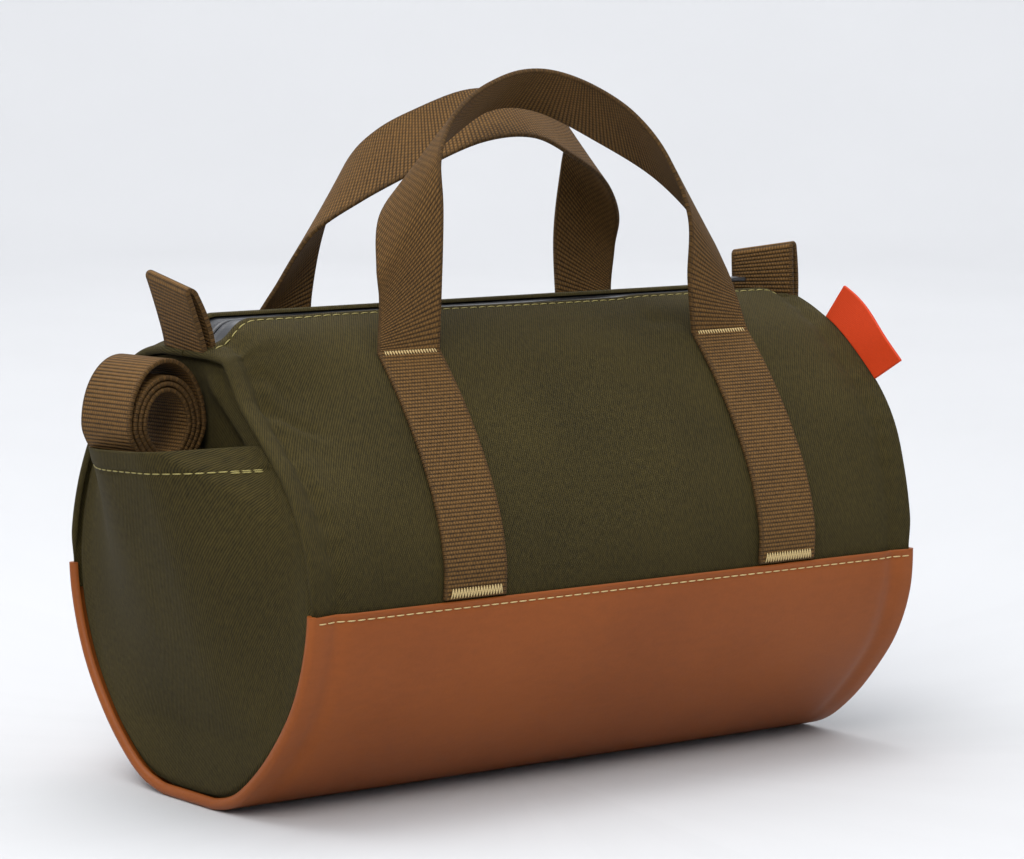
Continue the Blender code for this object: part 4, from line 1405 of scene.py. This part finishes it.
@dataclass
class Straps(Assembly):
    """Everything cut from webbing: handles, end tabs and the rolled spare strap."""

    width: float = 0.025
    thickness: float = 0.0016
    tack_height: float = 0.1505
    tack_lift: float = 0.0005
    tack_in: float = 0.0012
    tack_width: float = 0.0205
    tack_depth: float = 0.0032
    tack_strokes: int = 18
    front_rise: float = 0.0860
    back_rise: float = 0.0765
    tab_slot: float = 0.0014
    tab_gape: float = 0.35
    tab_curl: float = 1.5
    core_width: float = 0.0082
    core_height: float = 0.0108
    coil_turns: float = 3.0
    last_turn: float = 1.03
    loosen_over: float = 0.35
    roll_pitch: float = 0.0020
    roll_wide: float = 0.0004
    roll_loose: float = 0.0036
    roll_taper: float = 0.45
    roll_turn: float = radians(8)
    roll_start: float = radians(-50)

    def __post_init__(self) -> None:
        """Make the materials that all straps share."""
        self.webbing = WEBBING.material()
        self.thread = CREAM.material()

    def strap(self, name: str, inner: Array, outer: Array, node: str) -> None:
        """Webbing between two selvedges.

        Args:
            name: The piece's name.
            inner: Points along one selvedge.
            outer: Points along the other.
            node: The node that it replaces.
        """
        share = np.linspace(0, 1, 11)[None, :, None]
        strap = lay_cloth(name, inner[:, None] * (1 - share) + outer[:, None] * share)
        apply_modifier(strap, "SOLIDIFY", thickness=self.thickness, offset=0.0)
        apply_modifier(strap, "BEVEL", width=0.00055, segments=3, limit_method="ANGLE", angle_limit=radians(50))
        self.hand_over(strap, self.webbing, "webbing", [node], angle=60)

    def foot(self, side: Side, x: float, heights: Sequence[float], lift: float) -> Array:
        """Points up a handle's foot at one x.

        Args:
            side: Front or back.
            x: Place along the bag.
            heights: Heights of the points.
            lift: Distance of the points above the fabric.

        Returns:
            The points.
        """
        station = np.array([self.form.station_at_height(height) for height in heights])
        deep = self.form.fabric_inset(station) - lift
        return self.form.skin(x + 0 * station, side.value * station, deep)

    def handle(self, side: Side, rise: float, table: Sequence[Ruling]) -> None:
        """One handle: up a panel, over in a loop and down again.

        Args:
            side: Front or back.
            rise: Height of the loop above its tacks.
            table: Rulings of the free loop.
        """
        form, lift = self.form, GAP + self.thickness / 2
        heights = np.linspace(form.leather_edge + 2 * GAP, self.tack_height - 0.003, 60)
        feet = {}
        for end in (-1, 1):
            x = end * form.strap_spacing / 2 + form.strap_shift
            upper = self.foot(side, x, [self.tack_height], lift + self.tack_lift)
            feet[end] = np.concatenate([self.foot(side, x, heights, lift), upper])
        top = feet[-1][-1]
        scale = np.array([form.strap_spacing / 2, top[1], rise])
        origin = np.array([form.strap_shift, 0.0, top[2]])
        rows = [[*(origin + scale * line[:3]), *(origin + scale * line[3:])] for line in np.array(table)]
        step = np.array([self.width / 2, 0.0, 0.0])
        ends = [[*(feet[end][-1] - end * step), *(feet[end][-1] + end * step)] for end in (-1, 1)]
        rows = [ends[0], *rows, ends[1]]
        loop = spline(rows, np.linspace(0, len(rows) - 1, 14 * (len(rows) - 1) + 1))
        inner = np.concatenate([feet[-1][:-1] + step, loop[:, :3], feet[1][-2::-1] - step])
        outer = np.concatenate([feet[-1][:-1] - step, loop[:, 3:], feet[1][-2::-1] + step])
        name = side.name.lower()
        self.strap(f"carry_handle_{name}", *((inner, outer)[:: -side.value]), f"handle_{name}")

    def tacks(self, side: Side) -> None:
        """Sew the zigzag tacks at the top and the bottom of a handle's two feet.

        Args:
            side: Front or back.
        """
        starts, ends, normals = [], [], []
        lift = GAP + self.thickness + 0.0002
        share = np.linspace(-0.5, 0.5, 2 * self.tack_strokes + 1)
        for end in (-1, 1):
            middle = end * self.form.strap_spacing / 2 + self.form.strap_shift
            for low in (self.form.leather_edge + self.tack_in, self.tack_height - self.tack_in):
                corners = [
                    self.foot(side, x, [low + self.tack_depth * (number % 2)], lift)[0]
                    for number, x in enumerate(middle + share * self.tack_width)
                ]
                station = np.array([side.value * self.form.station_at_height(low)])
                starts += corners[:-1]
                ends += corners[1:]
                normals += [self.form.normals(np.array([middle]), station)[0]] * (len(corners) - 1)
        sewn = self.sewing.threads(f"bar_tacks_{side.name.lower()}", *map(np.array, (starts, ends, normals)))
        self.hand_over(sewn, self.thread, "webbing")

    def tab(self, node: str, shape: TabShape) -> None:
        """Doubled tab at one end of the zip.

        Args:
            node: The node that it replaces.
            shape: Its place and its heights.
        """
        radius = (self.tab_slot + self.thickness) / 2
        bend = np.linspace(0, pi, 17)[1:-1]
        forward = np.array([cos(shape.turn), sin(shape.turn), 0.0])
        across = np.array([-sin(shape.turn), cos(shape.turn), 0.0])
        selvedges = []
        for side, foot, top in ((-1, shape.front_foot, shape.front_top), (1, shape.rear_foot, shape.rear_top)):
            straight = top - foot - radius - self.thickness / 2
            levels = np.linspace(0, straight, 16)
            gape = radius * (1 + self.tab_gape * np.sin(pi * levels / straight))
            far = np.concatenate([-gape, -radius * np.cos(bend), gape[::-1]])
            up = np.concatenate([levels, straight + radius * np.sin(bend), levels[::-1]])
            shift = far + shape.lean * (up / (top - foot)) ** self.tab_curl
            base = np.array([shape.foot_x, 0.0, foot]) + side * self.width / 2 * across
            selvedges.append(base + shift[:, None] * forward + up[:, None] * UP)
        self.strap(f"{node}_webbing", *selvedges, node)

    def roll(self) -> None:
        """Spare strap wound into an oval coil, its last turn looser, standing in the end pocket."""
        low, high = (np.array(corner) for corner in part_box("strap_roll"))
        yaw, turns = self.roll_turn, self.coil_turns + self.last_turn
        angle = np.linspace(0, 2 * pi * turns, int(turns * 72) + 1)
        wound = angle / (2 * pi)
        loose = ease((wound - self.coil_turns) / self.loosen_over)
        turn = self.roll_start - angle
        wide = self.core_width + self.roll_pitch * wound + self.roll_wide * loose
        tall = self.core_height + self.roll_pitch * wound
        up = np.sin(turn)
        taper = 1 - self.roll_taper * np.maximum(-up, 0.0) ** 1.5
        rise = tall * up + loose * self.roll_loose * np.maximum(up, 0.0)
        centres = np.outer(wide * np.cos(turn) * taper, [cos(yaw), sin(yaw), 0.0]) + np.outer(rise, UP)
        reach = (self.thickness + self.width * sin(yaw)) / 2
        top = high[2] - self.thickness / 2 - centres[:, 2].max()
        centres = centres + np.array([low[0] + reach - centres[:, 0].min(), (low[1] + high[1]) / 2, top])
        across = np.array([-sin(yaw), cos(yaw), 0.0])
        ahead = unit(np.gradient(centres, axis=0))
        half = unit(across - ahead * (ahead @ across)[:, None]) * self.width / 2
        self.strap("rolled_strap", centres - half, centres + half, "strap_roll")

    def build(self) -> None:
        """Make the handles, the tacks, the tabs and the roll."""
        self.handle(Side.FRONT, self.front_rise, FRONT_LOOP)
        self.handle(Side.BACK, self.back_rise, BACK_LOOP)
        for side in Side:
            self.tacks(side)
        for node, shape in TABS.items():
            self.tab(node, shape)
        self.roll()


@dataclass
class Label(Assembly):
    """Folded ribbon label standing out of the right end's front seam, left bare."""

    length: float = 0.034
    rise: float = 0.0145
    thickness: float = 0.0011
    drop: float = 0.0165
    wave: float = 0.0008
    high_end: Place = (0.10, -0.57, 0.82)
    low_end: Place = (0.10, -0.86, 0.52)

    def build(self) -> None:
        """Make the label."""
        form = self.form
        middle = -form.station_at_height(form.height - self.drop)
        stations = middle + np.linspace(-2.6, 2.6, 105)
        span = form.skin(form.half_length - form.rim_radius, stations, form.fabric_rest - GAP)
        run = run_along(span)
        share = np.linspace(0, 1, 49)
        foot = sample(span, run, (run[-1] - self.length) / 2 + self.length * share)
        high, low = np.array(self.high_end), np.array(self.low_end)
        out = unit(high + (low - high) * share[:, None])
        rise = np.linspace(0, 1, 22)[:, None, None]
        ripple = np.array([1.0, 0.0, 0.0]) * (self.wave * np.sin(2 * pi * share))[:, None]
        points = foot + out * self.rise * rise + ripple * rise
        label = lay_cloth("folded_label", points[::-1])
        apply_modifier(label, "SOLIDIFY", thickness=self.thickness, offset=0.0)
        apply_modifier(label, "BEVEL", width=0.0004, segments=3, limit_method="ANGLE", angle_limit=radians(50))
        self.hand_over(label, RIBBON.material(), "label", ["label"], angle=60)


class Lamp(NamedTuple):
    """A square soft box: name, place, edge, power in watts, colour and the place that it faces."""

    name: str
    place: Place
    size: float
    power: float
    tint: str = "#FFFFFF"
    target: Place = (0.0, 0.0, 0.09)


LAMPS = (
    Lamp("overhead_box", (-0.3, 0.3, 1.9), 1.5, 20.0),
    Lamp("key_box", (-1.5, -1.3, 1.5), 1.1, 25.0, "#FFFDF8"),
    Lamp("backdrop_wash", (1.1, 1.5, 2.4), 1.2, 25.0, "#FFFFFF", (2.5, 3.3, 0.7)),
)


@dataclass
class Studio:
    """Pale seamless bowl of paper, soft lights and the photograph's camera."""

    floor_radius: float = 2.6
    sweep: float = 1.2
    wall: float = 2.0
    middle_size: float = 1.4
    middle_depth: float = 0.0005
    air: str = "#F5F6F9"
    air_strength: float = 1.55
    camera_at: Place = (-0.7930, -1.0685, 0.2679)
    camera_turn: Place = (radians(83.53), 0.0, radians(-36.82))
    lens: float = 133.9
    sensor: float = 36.0
    far: float = 20.0

    def camera(self) -> None:
        """Place the camera."""
        choose()
        bpy.ops.object.camera_add(location=self.camera_at, rotation=self.camera_turn)
        camera = bpy.context.object
        camera.data.lens = self.lens
        camera.data.sensor_width = self.sensor
        camera.data.clip_end = self.far
        bpy.context.scene.camera = camera
        bpy.context.scene.view_settings.view_transform = "Standard"

    def backdrop(self) -> None:
        """Sweep the paper up on all sides, so that every view has the same pale ground."""
        angles = np.linspace(0, pi / 2, 15)
        edge = self.floor_radius + self.sweep
        radii = np.concatenate([[0.01, 0.6, 1.6], self.floor_radius + self.sweep * np.sin(angles), [edge]])
        heights = np.concatenate([[0.0] * 3, self.sweep * (1 - np.cos(angles)), [self.sweep + self.wall]])
        around = np.linspace(0, 2 * pi, 73)
        circle = (np.cos(around), np.sin(around), 1 + 0 * around)
        rings = [np.outer(size, share) for size, share in zip((radii, radii, heights), circle)]
        paper = lay_cloth("studio_floor", np.stack(rings, axis=-1)[:, ::-1])
        choose(paper)
        bpy.ops.object.shade_smooth()
        paper.data.materials.append(PAPER.material())
        choose()
        bpy.ops.mesh.primitive_plane_add(size=self.middle_size, location=(0, 0, -self.middle_depth))
        middle = bpy.context.object
        middle.name = "studio_floor_middle"
        middle.data.materials.append(PAPER.material())

    def build(self) -> None:
        """Light the bag from above and from the camera's left, and the paper on the right."""
        self.backdrop()
        world = bpy.data.worlds.new("studio_air")
        world.use_nodes = True
        sky = world.node_tree.nodes["Background"]
        sky.inputs["Color"].default_value = linear(self.air)
        sky.inputs["Strength"].default_value = self.air_strength
        bpy.context.scene.world = world
        for lamp in LAMPS:
            choose()
            bpy.ops.object.light_add(type="AREA", location=lamp.place)
            light = bpy.context.object
            light.name = lamp.name
            aim = Vector(lamp.target) - Vector(lamp.place)
            light.rotation_euler = aim.to_track_quat("-Z", "Y").to_euler()
            light.data.shape = "SQUARE"
            light.data.size = lamp.size
            light.data.energy = lamp.power
            light.data.color = linear(lamp.tint)[:3]


def main() -> None:
    """Dress the bag and set the studio round it."""
    logging.basicConfig(level=logging.INFO, format="%(name)s: %(message)s")
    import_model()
    studio = Studio()
    studio.camera()
    form, sewing = BodyForm(), Sewing()
    for kind in (LeatherBase, WovenPanels, Ends, Zip, Straps, Label):
        kind(form, sewing).build()
        LOG.info("%s done", kind.__name__)
    studio.build()


if __name__ == "__main__":
    main()
